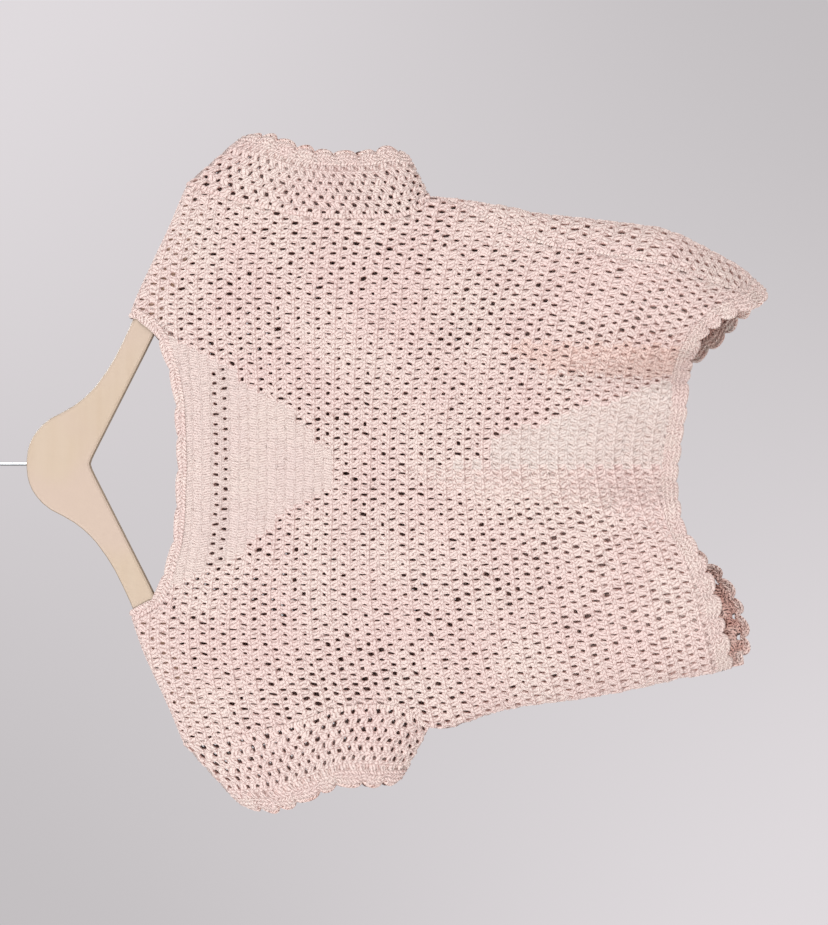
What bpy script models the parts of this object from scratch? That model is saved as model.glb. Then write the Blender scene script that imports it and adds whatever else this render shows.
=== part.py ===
"""A crochet top with scalloped edgings, hanging on a wooden hanger with a wire hook.

Sizes are in millimetres and become metres when a mesh is made. X runs to the right as seen from the
front, the front faces -Y and Z is up. The origin is the inside of the hook's crown, where a rail holds
it, and a "drop" is a distance below that point. Left and right are as seen from the front.

Both body panels are read from one ring for each drop, so their side seams always meet. The sleeves and
the edgings start from the panels' own edges, half a seam gap away.
"""
import bisect
import functools
import math
from collections import namedtuple

import bmesh
import bpy
from mathutils import Vector

# Driving dimensions
WALL = 2.0                  # thickness of the crochet
SEAM_GAP = 0.3              # between two pieces that are sewn together
UNDERARM_DROP = 380.0       # where the side seams start
WRAP_DEPTH = 5.5            # over which the cloth turns from the front over the shoulder
HEM_DROP = 600.0            # where the folds are at their full depth
SLEEVE_STEPS = 6            # rows of faces from armhole to cuff
CUFF_HALF_DEPTH = 13.0      # half the thickness of a sleeve at its cuff
CUFF_ROUNDNESS = 2.6        # 2 makes its section an ellipse, more makes it fuller
RING_STEPS = 90             # points over the front of a ring, and over its back
CHEST_BLEND = 40.0          # over which a ring's section changes above the underarm
FOLD_FADE = 1.8             # how closely the folds run up to the side edges
NEAR = 0.01                 # nearer than this, two points of a line count as one
SHARP_ANGLE = 40.0          # degrees between two faces that meet at a sharp edge
METRES = 0.001

HANGER_THICKNESS = 12.0
HANGER_BEVEL = 2.2
HANGER_FOOT_RADIUS = 2.0    # rounding of the notch under the crown
HOOK_WIRE = 2.8             # diameter of the wire
HOOK_INNER_RADIUS = 17.0    # takes a rail of up to 30 mm
HOOK_SUNK = 10.0            # depth of the wire's hole in the wood
HOOK_HOLE_GAP = 0.4
HOOK_ARC = (-48, 206, 11)   # degrees along the bend, from the stem over the top to the tip

SHOULDER_HALF_WIDTH = 221.2

# The body by drop: the left and right edges, the half depths of the front, the back and the armhole edge,
# and how far each side seam lies from the edge along the ring. A positive turn on the left brings the
# seam round to the back, and on the right round to the front.
Level = namedtuple("Level", "drop left right front back armhole turn_left turn_right")
LEVELS = (
    Level(140, -SHOULDER_HALF_WIDTH, SHOULDER_HALF_WIDTH, 7.7, 7.7, 7.7, 0, 0),
    Level(186, -SHOULDER_HALF_WIDTH, SHOULDER_HALF_WIDTH, 8.3, 8.3, 7.7, 0, 0),
    Level(220, -217.0, 211.0, 10.0, 10.0, 9.5, 0, 0),
    Level(250, -210.5, 203.0, 12.0, 12.0, 11.0, 0, 0),
    Level(280, -203.0, 197.0, 14.0, 14.0, 12.0, 0, 0),
    Level(305, -194.0, 195.0, 15.0, 15.0, 12.0, 0, 0),
    Level(330, -190.5, 195.0, 16.0, 16.0, 11.5, 0, 0),
    Level(352, -191.5, 195.5, 17.0, 17.0, 10.0, 0, 0),
    Level(368, -198.0, 200.0, 18.0, 18.0, 6.5, 0, 0),
    Level(380, -208.0, 211.0, 19.0, 19.0, 0, 0, 0),
    Level(392, -209.0, 210.5, 20.0, 20.0, 0, 1, 2),
    Level(412, -202.5, 207.5, 21.5, 21.5, 0, 2, 8),
    Level(436, -194.5, 204.0, 23.5, 24.0, 0, 4, 18),
    Level(467, -189.0, 197.5, 26.0, 27.0, 0, 6, 27),
    Level(499, -185.0, 194.0, 30.0, 31.0, 0, 8, 31),
    Level(530, -179.5, 190.5, 34.0, 35.0, 0, 10, 34),
    Level(562, -172.5, 186.0, 38.0, 39.0, 0, 12, 37),
    Level(578, -168.5, 180.5, 40.0, 41.0, 0, 12, 38),
    Level(594, -166.5, 172.5, 41.0, 42.0, 0, 12, 38),
    Level(610, -163.0, 164.0, 41.0, 42.0, 0, 12, 36),
    Level(626, -160.0, 154.5, 40.0, 41.0, 0, 12, 30),
    Level(640, -158.0, 142.5, 38.0, 39.0, 0, 12, 20),
    Level(655, -157.0, 131.0, 36.0, 37.0, 0, 12, 14),
)

# The ridge of the cloth over the hanger, from the neck down to the shoulder points
Ridge = namedtuple("Ridge", "x drop")
RIDGE = (
    Ridge(-226.0, 190.0), Ridge(-218.0, 185.5), Ridge(-199.0, 177.6), Ridge(-181.0, 169.6),
    Ridge(-164.0, 161.6), Ridge(-148.0, 154.5), Ridge(-123.5, 146.0), Ridge(-112.0, 142.4),
    Ridge(-90.0, 135.0), Ridge(90.0, 135.0),
    Ridge(112.0, 142.4), Ridge(123.5, 146.0), Ridge(135.0, 150.5), Ridge(153.0, 158.8),
    Ridge(170.0, 166.8), Ridge(186.0, 174.4), Ridge(208.0, 183.6), Ridge(226.0, 191.5),
)

# The seam between the panels and the neck edging, the same to both sides, on the front and on the back
NeckSeam = namedtuple("NeckSeam", "x drop")
NECK_HALF_WIDTH = 123.5
NECK_SEAM = (
    NeckSeam(0.0, 189.5), NeckSeam(47.0, 185.5), NeckSeam(79.0, 179.5), NeckSeam(94.0, 175.5),
    NeckSeam(104.0, 171.0), NeckSeam(111.5, 165.5), NeckSeam(116.0, 160.0), NeckSeam(118.4, 156.0),
    NeckSeam(120.8, 151.6), NeckSeam(121.8, 149.4), NeckSeam(122.6, 147.6), NeckSeam(123.2, 146.5),
    NeckSeam(NECK_HALF_WIDTH, 146.0),
)

# The seam between a panel and the hem edging
HemSeam = namedtuple("HemSeam", "x drop")
FRONT_HEM = (
    HemSeam(-165, 607.0), HemSeam(-150, 604.0), HemSeam(-132, 599.0), HemSeam(-105, 593.5),
    HemSeam(-87, 588.0), HemSeam(-72, 582.0), HemSeam(-57, 573.5), HemSeam(-42, 567.0),
    HemSeam(-22, 563.5), HemSeam(0, 563.5), HemSeam(24, 565.0), HemSeam(47, 567.0),
    HemSeam(66, 571.0), HemSeam(86, 580.0), HemSeam(109, 592.0), HemSeam(121, 604.0),
    HemSeam(129, 619.0), HemSeam(135, 632.0), HemSeam(142, 636.0),
)
BACK_HEM = (
    HemSeam(-165, 610.0), HemSeam(-155, 618.0), HemSeam(-140, 623.0), HemSeam(-124, 620.5),
    HemSeam(-108, 614.0), HemSeam(-96, 606.5), HemSeam(-87, 598.0), HemSeam(-78, 587.0),
    HemSeam(-66, 577.0), HemSeam(-54, 570.0), HemSeam(-27, 559.0), HemSeam(0, 557.0),
    HemSeam(30, 557.0), HemSeam(50, 564.0), HemSeam(70, 577.5), HemSeam(90, 592.0),
    HemSeam(105, 604.5), HemSeam(115, 613.5), HemSeam(124, 622.0), HemSeam(132, 631.0),
    HemSeam(140, 636.0), HemSeam(150, 637.0),
)

# Upright folds: their place where they start and at the hem, their half width and their full height,
# outwards where it is positive
Fold = namedtuple("Fold", "x_start x_hem half_width height start_drop")
FRONT_FOLDS = (
    Fold(-150, -152, 26, 3.0, 400),
    Fold(-118, -118, 22, -4.0, 400),
    Fold(-42, -38, 24, 8.0, 395),
    Fold(-8, -6, 20, -12.0, 400),
    Fold(44, 50, 25, 11.0, 420),
    Fold(78, 88, 22, -10.0, 470),
    Fold(118, 124, 26, 5.0, 500),
)
BACK_FOLDS = (
    Fold(-120, -112, 26, 7.0, 400),
    Fold(-72, -66, 24, -9.0, 400),
    Fold(-16, -10, 30, 9.0, 420),
    Fold(42, 44, 24, -10.0, 400),
    Fold(98, 92, 28, 7.0, 430),
)

# The seam between a sleeve and its cuff edging, from the top fold down to the underarm fold
CuffSeam = namedtuple("CuffSeam", "share x drop")
CUFF_LEFT = (
    CuffSeam(0.0, -264.0, 226.0), CuffSeam(0.2, -263.5, 250.0), CuffSeam(0.45, -252.5, 283.0),
    CuffSeam(0.7, -241.0, 316.0), CuffSeam(0.86, -240.5, 341.0), CuffSeam(1.0, -238.0, 368.0),
)
CUFF_RIGHT = (
    CuffSeam(0.0, 254.0, 227.0), CuffSeam(0.2, 250.0, 250.0), CuffSeam(0.45, 240.5, 280.0),
    CuffSeam(0.7, 237.5, 308.0), CuffSeam(0.86, 237.0, 334.0), CuffSeam(1.0, 236.5, 369.0),
)

# Scalloped edgings: their whole width, the depth of a scallop and its width along the edge
Edging = namedtuple("Edging", "width depth pitch")
NECK_EDGING = Edging(8.0, 2.6, 28.0)
CUFF_EDGING = Edging(12.5, 4.0, 15.0)
HEM_EDGING = Edging(12.0, 6.0, 15.5)
SCALLOP_OUTLINE = ((0.0, 0.0), (0.2, 0.8), (0.5, 1.0), (0.8, 0.8))   # share along, share of the depth
LEAST_STOP = 1.4            # the narrowest face beside a corner of the seam

# Where the columns of a panel's faces start along its top edge, to each side of the middle
TOP_STOPS = (
    19.5, 39.0, 58.0, 79.0, 87.0, 95.0, 103.5, 110.5, 115.5, 118.4, 120.8, 121.8, 122.6, 123.2,
    NECK_HALF_WIDTH, 143.0, 162.0, 181.0, 200.0, 217.0, SHOULDER_HALF_WIDTH,
)
NECK_COLUMNS = tuple(len(TOP_STOPS) + way * (TOP_STOPS.index(NECK_HALF_WIDTH) + 1) for way in (-1, 1))
EVEN_DROP = 330.0           # below this the columns are spread over the whole width
EVEN_CROWDING = 0.35        # how much closer they stand near the side seams
SHOULDER_ROWS = (0.0, 0.6, 1.7, 3.4, WRAP_DEPTH, 11.0)   # distances below the panel's top edge
CHEST_ROWS = 7              # from there to the underarm
UNDERARM_CROWDING = 1.8     # how much closer these rows come to each other there
SKIRT_ROWS = 9              # from the underarm to the hem
UNDERARM_ROW = len(SHOULDER_ROWS) - 1 + CHEST_ROWS
SETTLING_STEPS = 8
SHARE_NUDGE = 0.0005        # the steps that a panel's outward directions are measured over
DROP_NUDGE = 0.2

# Half of the hanger's outline, from the middle of its crown out to the end of its arm
Outline = namedtuple("Outline", "x drop")
HANGER_TOP = (
    Outline(0, 62.0), Outline(9, 62.7), Outline(18, 65.3), Outline(28.8, 72.5), Outline(37, 82.5),
    Outline(43, 94.5), Outline(51, 106.0), Outline(62, 117.0), Outline(74.5, 126.0), Outline(88.5, 134.2),
    Outline(102, 140.5), Outline(113, 145.7), Outline(136, 153.9), Outline(156, 163.0), Outline(176, 172.4),
    Outline(196, 182.0),
)
UNDERSIDE_STOPS = (160, 124, 88, 52, 26, 13, 8, 4, 0)
HANGER_NOTCH_DROP = 112.0
UNDERSIDE_SLOPE = 0.507
UNDERSIDE_BEND = 0.0007    # how soon the arm's underside levels out
UNDERSIDE_BEND_X = 97.0     # and from where
HANGER_CROWN_X = 62.0       # where the crown runs out into the arm
HANGER_STEPS = 12           # points along the top of the crown, and along the top of the arm
HANGER_END_X = 209.0
HANGER_END_ANGLES = (60, 30, 0, -30, -60)

# The middle of the hook's wire from the wood up to the bend
Stem = namedtuple("Stem", "x drop")
HOOK_STEM = (
    Stem(0.0, 62.0), Stem(0.0, 52.0), Stem(0.0, 40.5), Stem(1.3, 37.8), Stem(4.5, 35.6), Stem(8.5, 33.4),
)


def remove_everything():
    """Start from an empty scene."""
    for item in list(bpy.data.objects):
        bpy.data.objects.remove(item)


def smooth_curve(rows, column):
    """A function through one column of a table, without overshoot and level beyond its ends."""
    keys = [row[0] for row in rows]
    values = [getattr(row, column) for row in rows]
    steps = [(values[i + 1] - values[i]) / (keys[i + 1] - keys[i]) for i in range(len(keys) - 1)]
    slopes = [steps[0]]
    for before, after in zip(steps, steps[1:]):
        same_way = before * after > 0
        slopes.append(2 * before * after / (before + after) if same_way else 0.0)
    slopes.append(steps[-1])

    def value_at(key):
        if key <= keys[0]:
            return values[0]
        if key >= keys[-1]:
            return values[-1]
        i = next(n for n in range(len(keys) - 1) if key <= keys[n + 1])
        span = keys[i + 1] - keys[i]
        t = (key - keys[i]) / span
        start = values[i] * (1 + 2 * t) * (1 - t) ** 2 + slopes[i] * span * t * (1 - t) ** 2
        stop = values[i + 1] * t * t * (3 - 2 * t) - slopes[i + 1] * span * t * t * (1 - t)
        return start + stop

    return value_at


LEVEL_AT = {column: smooth_curve(LEVELS, column) for column in Level._fields[1:]}
RIDGE_AT = smooth_curve(RIDGE, "drop")
NECK_AT = smooth_curve(NECK_SEAM, "drop")
HEM_AT = {"front": smooth_curve(FRONT_HEM, "drop"), "back": smooth_curve(BACK_HEM, "drop")}
FOLDS = {"front": FRONT_FOLDS, "back": BACK_FOLDS}
OUTWARD = {"front": -1.0, "back": 1.0}


def eased(share):
    """0 to 1 with level ends."""
    share = min(1.0, max(0.0, share))
    return share * share * (3 - 2 * share)


def fold_height(side, x, drop):
    """How far the folds push the cloth outwards at one place."""
    height = 0.0
    for fold in FOLDS[side]:
        share = (drop - fold.start_drop) / (HEM_DROP - fold.start_drop)
        middle = fold.x_start + (fold.x_hem - fold.x_start) * share
        height += fold.height * eased(share) * math.exp(-((x - middle) / fold.half_width) ** 2)
    return height


@functools.lru_cache(maxsize=None)
def half_ring(side, drop):
    """The middle of the wall over the front or the back at one drop, from left to right."""
    level = {column: curve(drop) for column, curve in LEVEL_AT.items()}
    middle = (level["left"] + level["right"]) / 2
    half_width = (level["right"] - level["left"]) / 2
    roundness = 1 + eased((UNDERARM_DROP - drop) / CHEST_BLEND)
    points = []
    for step in range(RING_STEPS + 1):
        angle = math.pi * step / RING_STEPS
        x = middle - half_width * math.cos(angle)
        lift = max(0.0, math.sin(angle))
        depth = level["armhole"] + (level[side] - level["armhole"]) * lift ** roundness
        depth += fold_height(side, x, drop) * min(1.0, FOLD_FADE * lift)
        points.append(Vector((x, OUTWARD[side] * depth, -drop)))
    return points


def lengths_along(points):
    """The distance of each point from the first one, along the line."""
    lengths = [0.0]
    for before, after in zip(points, points[1:]):
        lengths.append(lengths[-1] + (after - before).length)
    return lengths


def place_along(lengths, distance):
    """The stretch of a line that holds a distance from its start, and the share of that stretch."""
    distance = min(lengths[-1], max(0.0, distance))
    i = min(len(lengths) - 2, max(0, bisect.bisect_right(lengths, distance) - 1))
    return i, (distance - lengths[i]) / (lengths[i + 1] - lengths[i])


def point_along(points, lengths, distance):
    """The point at a distance from the first one, along the line."""
    i, share = place_along(lengths, distance)
    return points[i].lerp(points[i + 1], share)


def cut_line(points, start, stop):
    """The stretch of a line between two distances from its first point."""
    lengths = lengths_along(points)
    inside = [point for point, length in zip(points, lengths) if start + NEAR < length < stop - NEAR]
    return [point_along(points, lengths, start)] + inside + [point_along(points, lengths, stop)]


@functools.lru_cache(maxsize=None)
def panel_line(side, drop):
    """One panel's line at one drop, from its left seam to its right seam, and the lengths along it."""
    front, back = half_ring("front", drop), half_ring("back", drop)
    turn_left, turn_right = LEVEL_AT["turn_left"](drop), LEVEL_AT["turn_right"](drop)
    front_length = lengths_along(front)[-1]
    if side == "front":
        line = cut_line(front, 0.0, front_length - turn_right)
        if turn_left > NEAR:
            line = list(reversed(cut_line(back, 0.0, turn_left)))[:-1] + line
    else:
        line = cut_line(back, turn_left, lengths_along(back)[-1])
        if turn_right > NEAR:
            line += list(reversed(cut_line(front, front_length - turn_right, front_length)))[1:]
    return line, lengths_along(line)


def wrap_over_shoulder(x, drop):
    """0 on the ridge over the hanger, 1 where the cloth hangs free below it."""
    share = min(1.0, max(0.0, (drop - RIDGE_AT(x)) / WRAP_DEPTH))
    return (1 - (1 - share) ** 3) ** (1 / 3)


def panel_point(side, share, drop):
    """The middle of a panel's wall at a share of its width and a drop."""
    line, lengths = panel_line(side, drop)
    point = point_along(line, lengths, share * lengths[-1])
    return Vector((point.x, point.y * wrap_over_shoulder(point.x, drop), point.z))


def top_edge(x):
    """The top edge of a panel: the neck seam between the two shoulder seams."""
    return NECK_AT(abs(x)) if abs(x) < NECK_HALF_WIDTH else RIDGE_AT(x)


def hem_under(side, share):
    """The drop at which a column meets its hem seam."""
    drop = HEM_DROP
    for _ in range(SETTLING_STEPS):
        drop = (drop + HEM_AT[side](panel_point(side, share, drop).x)) / 2
    return drop


def columns():
    """Each column's place along the top edge, and its share of the width below the chest."""
    starts = [-x for x in reversed(TOP_STOPS)] + [0.0] + list(TOP_STOPS)
    last = len(starts) - 1
    crowded = [(1 - math.cos(math.pi * n / last)) / 2 for n in range(last + 1)]
    evens = [n / last + (crowded[n] - n / last) * EVEN_CROWDING for n in range(last + 1)]
    return starts, evens


def column_drops(top, bottom):
    """The drops of one column's points, with the underarm on the same row everywhere."""
    drops = [top + distance for distance in SHOULDER_ROWS]
    start = drops[-1]
    for n in range(CHEST_ROWS):
        share = 1 - (1 - (n + 1) / CHEST_ROWS) ** UNDERARM_CROWDING
        drops.append(start + (UNDERARM_DROP - start) * share)
    drops += [UNDERARM_DROP + (bottom - UNDERARM_DROP) * (n + 1) / SKIRT_ROWS for n in range(SKIRT_ROWS)]
    return drops


def panel_normal(side, share, drop):
    """The outward direction of a panel's wall at one place."""
    across = panel_point(side, min(1.0, share + SHARE_NUDGE), drop)
    across -= panel_point(side, max(0.0, share - SHARE_NUDGE), drop)
    down = panel_point(side, share, drop + DROP_NUDGE) - panel_point(side, share, drop - DROP_NUDGE)
    return (across.cross(down) * OUTWARD[side]).normalized()


def panel_grid(side):
    """The middle of a panel's wall and its outward directions, in columns from left to right."""
    starts, evens = columns()
    width = starts[-1] - starts[0]
    grid, normals = [], []
    for start, even in zip(starts, evens):
        top = top_edge(start)
        at_top = (start - starts[0]) / width
        seam = even in (0.0, 1.0)
        bottom = sum(hem_under(each, even) for each in OUTWARD) / 2 if seam else hem_under(side, even)
        drops = column_drops(top, bottom)
        shares = [at_top + (even - at_top) * eased((drop - top) / (EVEN_DROP - top)) for drop in drops]
        grid.append([panel_point(side, share, drop) for share, drop in zip(shares, drops)])
        normals.append([panel_normal(side, share, drop) for share, drop in zip(shares, drops)])
    return grid, normals


def direction(line, i, closed=False):
    """Which way a line runs at one of its points."""
    last = len(line) - 1
    before = line[i - 1] if i > 0 or closed else None
    after = line[(i + 1) % len(line)] if i < last or closed else None
    way = Vector()
    if before is not None:
        way += (line[i] - before).normalized()
    if after is not None:
        way += (after - line[i]).normalized()
    return way.normalized()


def tube_normals(grid):
    """The outward directions of a sleeve's wall, whose columns run round the arm."""
    rings = [list(ring) for ring in zip(*grid)]
    ways = [
        [direction(rings[j], i, True).cross(direction(column, j)).normalized() for j in range(len(column))]
        for i, column in enumerate(grid)
    ]
    outward = -1 if ways[UNDERARM_ROW // 2][-1].y > 0 else 1
    return [[way * outward for way in column] for column in ways]


def match_normals(normals):
    """Give both panels the same direction along the shoulder seams and the side seams."""
    front, back = normals["front"], normals["back"]
    last = len(front) - 1
    shared = [(i, 0) for i in range(last + 1) if not NECK_COLUMNS[0] < i < NECK_COLUMNS[1]]
    shared += [(i, j) for i in (0, last) for j in range(UNDERARM_ROW, len(front[0]))]
    for i, j in shared:
        front[i][j] = back[i][j] = (front[i][j] + back[i][j]).normalized()


def inwards_of(line, line_normals, inner_line, closed=False):
    """At each point of a border, the direction in the cloth, square to the border, into the piece."""
    square = [line_normals[i].cross(direction(line, i, closed)).normalized() for i in range(len(line))]
    inner_ways = [(inner - point).normalized() for inner, point in zip(inner_line, line)]
    agreed = sum(way.dot(inner_way) for way, inner_way in zip(square, inner_ways))
    return square if agreed > 0 else [-way for way in square]


def trimmed(grid, normals):
    """A panel's grid with each of its seams drawn back by half a seam gap."""
    last, low = len(grid) - 1, len(grid[0]) - 1
    armhole, side_seam = range(UNDERARM_ROW + 1), range(UNDERARM_ROW, low + 1)
    neck_start, neck_stop = NECK_COLUMNS
    tops = (range(neck_start + 1), range(neck_start, neck_stop + 1), range(neck_stop, last + 1))
    borders = [([(0, j) for j in rows], (1, 0)) for rows in (armhole, side_seam)]
    borders += [([(last, j) for j in rows], (-1, 0)) for rows in (armhole, side_seam)]
    borders += [([(i, 0) for i in places], (0, 1)) for places in tops]
    borders += [([(i, low) for i in range(last + 1)], (0, -1))]
    moved = [list(column) for column in grid]
    for places, (aside, down) in borders:
        line = [grid[i][j] for i, j in places]
        inner = [grid[i + aside][j + down] for i, j in places]
        ways = inwards_of(line, [normals[i][j] for i, j in places], inner)
        for (i, j), way in zip(places, ways):
            moved[i][j] = moved[i][j] + way * (SEAM_GAP / 2)
    return moved


def material(name, colour, roughness, metallic=0.0):
    """A plain material."""
    item = bpy.data.materials.new(name)
    item.use_nodes = True
    shader = item.node_tree.nodes["Principled BSDF"]
    shader.inputs["Base Color"].default_value = (*colour, 1.0)
    shader.inputs["Roughness"].default_value = roughness
    shader.inputs["Metallic"].default_value = metallic
    return item


def add_object(name, vertices, faces, look, smooth=True):
    """A mesh object, in metres, with its faces pointing outwards."""
    mesh = bpy.data.meshes.new(name)
    mesh.from_pydata([tuple(v * METRES) for v in vertices], [], faces)
    shape = bmesh.new()
    shape.from_mesh(mesh)
    bmesh.ops.recalc_face_normals(shape, faces=shape.faces)
    shape.to_mesh(mesh)
    shape.free()
    mesh.materials.append(look)
    if smooth:
        mesh.shade_smooth()
        mesh.set_sharp_from_angle(angle=math.radians(SHARP_ANGLE))
    item = bpy.data.objects.new(name, mesh)
    bpy.context.scene.collection.objects.link(item)
    return item


def wall_faces(column_count, row_count, closed):
    """The faces of a wall whose outer skin's points come first, column by column, then its inner skin's."""
    inner = column_count * row_count
    spans = column_count if closed else column_count - 1
    faces = []
    for i in range(spans):
        here, there = i * row_count, (i + 1) % column_count * row_count
        for j in range(row_count - 1):
            faces.append((here + j, here + j + 1, there + j + 1, there + j))
            faces.append((inner + there + j, inner + there + j + 1, inner + here + j + 1, inner + here + j))
        for j in (0, row_count - 1):
            faces.append((here + j, there + j, inner + there + j, inner + here + j))
    if not closed:
        for i in (0, (column_count - 1) * row_count):
            for j in range(row_count - 1):
                faces.append((i + j, i + j + 1, inner + i + j + 1, inner + i + j))
    return faces


def add_wall(name, points, normals, look, closed=False):
    """A wall of even thickness over a grid of points."""
    half = WALL / 2
    outer = [p + n * half for column, ways in zip(points, normals) for p, n in zip(column, ways)]
    inner = [p - n * half for column, ways in zip(points, normals) for p, n in zip(column, ways)]
    return add_object(name, outer + inner, wall_faces(len(points), len(points[0]), closed), look)


def cuff_point(rows, side, share):
    """A point of a cuff's seam, between the top fold and the underarm fold."""
    x, drop = smooth_curve(rows, "x")(share), smooth_curve(rows, "drop")(share)
    depth = CUFF_HALF_DEPTH * math.sqrt(max(0.0, 1 - abs(2 * share - 1) ** CUFF_ROUNDNESS))
    return Vector((x, OUTWARD[side] * depth, -drop))


def armhole_ring(values):
    """What belongs to an armhole's edge, over the front from top to underarm and up the back again."""
    front, back = values
    return front[:UNDERARM_ROW + 1] + back[UNDERARM_ROW - 1:0:-1]


def sleeve_grid(armhole, cuff_rows):
    """The middle of a sleeve's wall, as columns round the arm, each from the armhole to the cuff."""
    top, bottom = armhole[0].z, armhole[UNDERARM_ROW].z
    grid = []
    for i, start in enumerate(armhole):
        side = "front" if i <= UNDERARM_ROW else "back"
        cuff = cuff_point(cuff_rows, side, (start.z - top) / (bottom - top))
        grid.append([start.lerp(cuff, step / SLEEVE_STEPS) for step in range(SLEEVE_STEPS + 1)])
    return grid


def edging_grid(path, path_normals, inner_path, edging):
    """A scalloped band that goes on from a closed border, with a whole number of scallops."""
    outwards = [-way for way in inwards_of(path, path_normals, inner_path, closed=True)]
    count = len(path)
    lengths = lengths_along(path + path[:1])
    pitch = lengths[-1] / round(lengths[-1] / edging.pitch)
    grid, normals = [], []
    for distance in edging_stops(lengths, pitch):
        i, t = place_along(lengths, distance)
        j = (i + 1) % count
        base = path[i].lerp(path[j], t)
        away = outwards[i].lerp(outwards[j], t)
        normal = path_normals[i].lerp(path_normals[j], t)
        tip = edging.width - edging.depth * (1 - scallop_rise(distance / pitch % 1))
        grid.append([base + away * (SEAM_GAP / 2), base + away.normalized() * tip])
        normals.append([normal, normal.normalized()])
    return grid, normals


def edging_stops(lengths, pitch):
    """Where an edging's faces meet: at each corner of its seam, and along each scallop between them."""
    corners = lengths[:-1]
    stops = list(corners)
    for n in range(round(lengths[-1] / pitch)):
        for share, _ in SCALLOP_OUTLINE:
            stop = (n + share) * pitch
            if min(abs(stop - corner) for corner in lengths) > LEAST_STOP:
                stops.append(stop)
    return sorted(stops)


def scallop_rise(phase):
    """The height of a scallop's outline, as a share of its depth, at a phase from root to root."""
    outline = SCALLOP_OUTLINE + ((1.0, 0.0),)
    i = next(n for n in range(len(outline) - 1) if phase <= outline[n + 1][0])
    (start, low), (stop, high) = outline[i], outline[i + 1]
    return low + (high - low) * (phase - start) / (stop - start)


def body_ring(values, row, first, last):
    """One row of both panels as a closed line, over the front from left to right and back again."""
    front = [values["front"][i][row] for i in range(first, last + 1)]
    back = [values["back"][i][row] for i in range(last - 1, first, -1)]
    return front + back


def hanger_outline():
    """The hanger's outline as seen from the front, as one closed line."""
    table = smooth_curve(HANGER_TOP, "drop")
    reach = HANGER_TOP[-1].x
    crown = [HANGER_CROWN_X * n / HANGER_STEPS for n in range(HANGER_STEPS)]
    arm = [HANGER_CROWN_X + (reach - HANGER_CROWN_X) * n / HANGER_STEPS for n in range(HANGER_STEPS + 1)]
    top = [(x, table(x)) for x in crown + arm]
    high, low = table(reach), underside(reach)
    end = []
    for degrees in HANGER_END_ANGLES:
        angle = math.radians(degrees)
        x = reach + (HANGER_END_X - reach) * math.cos(angle)
        end.append((x, (high + low) / 2 - (low - high) / 2 * math.sin(angle)))
    below = [(x, underside(x)) for x in (reach,) + UNDERSIDE_STOPS]
    right = top + end + below
    return right + [(-x, drop) for x, drop in reversed(right) if x > 0]


def underside(x):
    """The hanger's lower edge, rounded in the middle and bent up a little towards the end."""
    rounded = math.sqrt(x * x + HANGER_FOOT_RADIUS ** 2) - HANGER_FOOT_RADIUS
    bend = UNDERSIDE_BEND * max(0.0, x - UNDERSIDE_BEND_X) ** 2
    return HANGER_NOTCH_DROP + UNDERSIDE_SLOPE * rounded - bend


def add_hanger_body(look):
    """A flat wooden hanger with rounded edges and a hole for the hook in its crown."""
    outline = hanger_outline()
    mesh = bpy.data.meshes.new("hanger_body")
    shape = bmesh.new()
    half = HANGER_THICKNESS / 2 * METRES
    ring = [shape.verts.new((x * METRES, -half, -drop * METRES)) for x, drop in outline]
    face = shape.faces.new(ring)
    grown = bmesh.ops.extrude_face_region(shape, geom=[face])
    moved = [item for item in grown["geom"] if isinstance(item, bmesh.types.BMVert)]
    bmesh.ops.translate(shape, verts=moved, vec=(0, 2 * half, 0))
    bmesh.ops.recalc_face_normals(shape, faces=shape.faces)
    shape.to_mesh(mesh)
    shape.free()
    mesh.materials.append(look)
    item = bpy.data.objects.new("hanger_body", mesh)
    bpy.context.scene.collection.objects.link(item)
    bevel = item.modifiers.new("edges", "BEVEL")
    bevel.width = HANGER_BEVEL * METRES
    bevel.segments = 2
    bevel.limit_method = "ANGLE"
    bevel.angle_limit = math.radians(SHARP_ANGLE)
    hole = item.modifiers.new("hole", "BOOLEAN")
    hole.operation = "DIFFERENCE"
    hole.object = hook_hole()
    return item


def hook_hole():
    """The cutter for the hook's hole."""
    crown = HANGER_TOP[0].drop
    bpy.ops.mesh.primitive_cylinder_add(
        vertices=16,
        radius=(HOOK_WIRE / 2 + HOOK_HOLE_GAP) * METRES,
        depth=2 * (HOOK_SUNK + HOOK_HOLE_GAP) * METRES,
        location=(0, 0, -crown * METRES),
    )
    cutter = bpy.context.object
    cutter.name = "hook_hole_cutter"
    cutter.hide_render = True
    cutter.display_type = "WIRE"
    return cutter


def hook_route():
    """The middle of the hook's wire, from inside the wood up, over the rail and down to its tip."""
    radius = HOOK_INNER_RADIUS + HOOK_WIRE / 2
    points = [(0.0, HOOK_STEM[0].drop + HOOK_SUNK)] + list(HOOK_STEM)
    for degrees in range(*HOOK_ARC):
        angle = math.radians(degrees)
        points.append((radius * math.cos(angle), HOOK_INNER_RADIUS - radius * math.sin(angle)))
    return points


def add_hanger_hook(look):
    """The wire hook."""
    curve = bpy.data.curves.new("hanger_hook", "CURVE")
    curve.dimensions = "3D"
    curve.bevel_depth = HOOK_WIRE / 2 * METRES
    curve.bevel_resolution = 2
    curve.use_fill_caps = True
    route = hook_route()
    line = curve.splines.new("POLY")
    line.points.add(len(route) - 1)
    for point, (x, drop) in zip(line.points, route):
        point.co = (x * METRES, 0.0, -drop * METRES, 1.0)
    curve.materials.append(look)
    item = bpy.data.objects.new("hanger_hook", curve)
    bpy.context.scene.collection.objects.link(item)
    return item


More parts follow.
